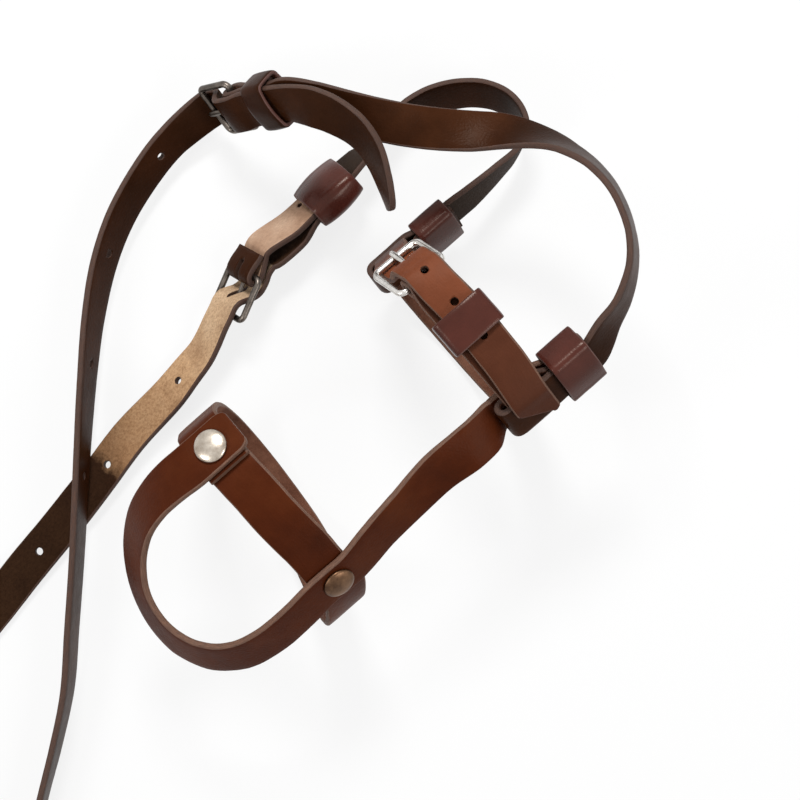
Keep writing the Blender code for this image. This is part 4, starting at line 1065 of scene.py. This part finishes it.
def long_strap(left_run):
    """Worn across the body: its two ends go through the shoulder straps' buckles and their keepers."""
    held = left_run.frame(left_run.nearest(measured(144.3, 83.0, 12.5)))
    points = placed(held, ((-6.5, LAYER), (0.0, LAYER), (7.0, LAYER + 0.05), (12.5, LAYER + 0.5)))
    leaving = left_run.frame(left_run.nearest(measured(124.0, 81.9, 13.0)))
    points += placed(leaving, [(0.0, LAYER + 3.4)])
    points += leanings(((117.0, 77.0, 8.8, 134), (111.0, 77.2, 8.6, 134)))
    points += placed(LEFT_BUCKLE, [(-8.0, RISE + LAYER + 3.2)] + BILLET_PATH[::-1])
    points += leanings((
        (62.2, 66.8, 9, 138), (51.6, 64.9, 7.4, 145), (40.6, 63, 6.2, 152), (16.2, 60.8, 4.4, 160),
        (-3.9, 56.8, 3.2, 167), (-29.7, 52, 2.35, 173), (-53.2, 48.2, 2.1, 180), (-75.3, 44, 2.4, 186),
        (-105.6, 39.3, 5, 202), (-136.3, 32.4, 8, 226), (-159.8, 21.6, 9.5, 250), (-177.6, 4.4, 9.7, 264),
        (-186.3, -18, 9.7, 269), (-183.5, -39.7, 9.7, 270), (-169.6, -52, 9.7, 270),
        (-148.3, -51.7, 9.7, 270), (-126.8, -40.6, 9.7, 270), (-107.6, -27.3, 9.8, 271),
        (-88, -13.9, 10.2, 273), (-71.1, -1.2, 11.2, 274), (-53.2, 16.1, 12.6, 275),
        (-32.6, 36.3, 13.4, 276), (-15.4, 53.9, 13.6, 277), (1.8, 71.6, 13.4, 279), (19.2, 89, 12.8, 283),
        (37.2, 105.9, 12.2, 289), (56.3, 120.7, 12, 296), (74.3, 130.4, 12.2, 302), (94.9, 137, 12.6, 308),
        (110.5, 139.6, 13, 311)))
    over = RISE + LAYER
    closer = [(-7.5, over + 0.4), (-12.0, over), (-20.0, over), (-28.0, over + 0.3)]
    points += placed(RIGHT_BUCKLE, BILLET_PATH + closer, -1.0)
    points += leanings((
        (158.3, 104.4, 68.3, -36), (162, 97, 70.9, -42), (164.6, 87.9, 71.8, -52), (164.8, 78.7, 69.6, -62),
        (162.3, 69.7, 65.8, -71), (158.8, 61.8, 61, -78), (155.9, 56.3, 57, -83)))
    run = Run(points)
    tools = [billet_slot(LEFT_BUCKLE), billet_slot(RIGHT_BUCKLE)]
    first, last = [run.nearest(tool[0].translation) for tool in tools]
    for k in range(1, SHOULDER_HOLES_PER_END + 1):
        for s in (first + SHOULDER_HOLE_PITCH * k, last - SHOULDER_HOLE_PITCH * k):
            tools.append(hole(run.frame(s), HOLE_R, 2.0))
    strap("long_strap", run, SHOULDER_W, tools, tips=("round", "round"))
    buckle("right", RIGHT_BUCKLE, SHOULDER_W, "black")
    buckle("left", LEFT_BUCKLE, SHOULDER_W, "black")
    keeper("right_buckle_keeper", moved_frame(RIGHT_BUCKLE, -20.5, 0, 0), RISE - LAYER - HALF_T - 0.4,
           over + HALF_T + 0.75, HELD_W, SHORT_KEEPER_LENGTH, 0.9, 0.3)
    keeper("left_buckle_keeper", held, -HALF_T - 0.7, LAYER + HALF_T + 1.1, HELD_W,
           LONG_KEEPER_LENGTH, 1.2, 1.3)


def build():
    """Build every piece over its solid."""
    lower_belt()
    sling_strap()
    upper_belt()
    right_strap()
    long_strap(left_strap())
    for node in STRAPS:
        dress(bpy.data.objects[node + "_leather"], node, "straps")


def camera():
    """The photograph's view."""
    eye = linked("camera", bpy.data.cameras.new("camera"))
    turn = Matrix((VIEW_RIGHT, VIEW_UP, VIEW_RIGHT.cross(VIEW_UP))).transposed()
    eye.matrix_world = Matrix.Translation(world(CAMERA_AT)) @ turn.to_4x4()
    eye.data.sensor_width = SENSOR
    eye.data.lens = LENS
    bpy.context.scene.camera = eye


def lamp(name, place_at, target, size, power):
    """A soft box aimed at a point."""
    light = bpy.data.lights.new(name, "AREA")
    light.shape = "RECTANGLE"
    light.size, light.size_y = size
    light.energy = power
    made = linked(name, light)
    made.location = place_at
    made.rotation_euler = (target - place_at).to_track_quat("-Z", "Y").to_euler()


def white_rays(tree):
    """1 for the rays that show the white background: the camera's, and those off metal or through a hole."""
    rays = tree.nodes.new("ShaderNodeLightPath")
    seen = rays.outputs["Is Camera Ray"]
    for name in ("Is Glossy Ray", "Is Transmission Ray"):
        both = tree.nodes.new("ShaderNodeMath")
        both.operation = "MAXIMUM"
        tree.links.new(seen, both.inputs[0])
        tree.links.new(rays.outputs[name], both.inputs[1])
        seen = both.outputs[0]
    return seen


def floor():
    """White floor that keeps a pale shadow."""
    s = Surface("floor_white")
    s.shade(Base_Color=(FLOOR_GREY, FLOOR_GREY, FLOOR_GREY, 1.0), Roughness=0.9)
    glow = s.node("ShaderNodeEmission")
    share = s.node("ShaderNodeMath", operation="MULTIPLY")
    s.put(share.inputs[0], white_rays(s.tree))
    s.put(share.inputs[1], FLOOR_WHITE)
    both = s.node("ShaderNodeMixShader", Fac=share.outputs[0])
    s.put(both.inputs[1], s.shader.outputs[0])
    s.put(both.inputs[2], glow.outputs[0])
    s.put(s.tree.nodes["Material Output"].inputs[0], both.outputs[0])
    shape = bmesh.new()
    bmesh.ops.create_grid(shape, x_segments=4, y_segments=4, size=FLOOR_HALF)
    made = object_of("floor", shape, [s.made])
    made.location.z = -FLOOR_DROP


def surroundings():
    """White surroundings, which light the object only a little, and the lamps."""
    air = bpy.data.worlds.new("surroundings")
    air.use_nodes = True
    tree = air.node_tree
    background = tree.nodes["Background"]
    strength = tree.nodes.new("ShaderNodeMapRange")
    strength.inputs["To Min"].default_value = AMBIENT
    strength.inputs["To Max"].default_value = 1.0
    tree.links.new(white_rays(tree), strength.inputs["Value"])
    tree.links.new(strength.outputs[0], background.inputs["Strength"])
    background.inputs["Color"].default_value = (1.0, 1.0, 1.0, 1.0)
    bpy.context.scene.world = air
    bpy.context.scene.view_settings.view_transform = "Standard"
    middle = world(LIT_AT)
    for name, sideways, ahead, high, size, power in LAMPS:
        at = middle + VIEW_RIGHT * sideways + VIEW_UP * ahead + Vector((0.0, 0.0, high))
        lamp(name, at, middle, size, power)


build()
camera()
floor()
surroundings()
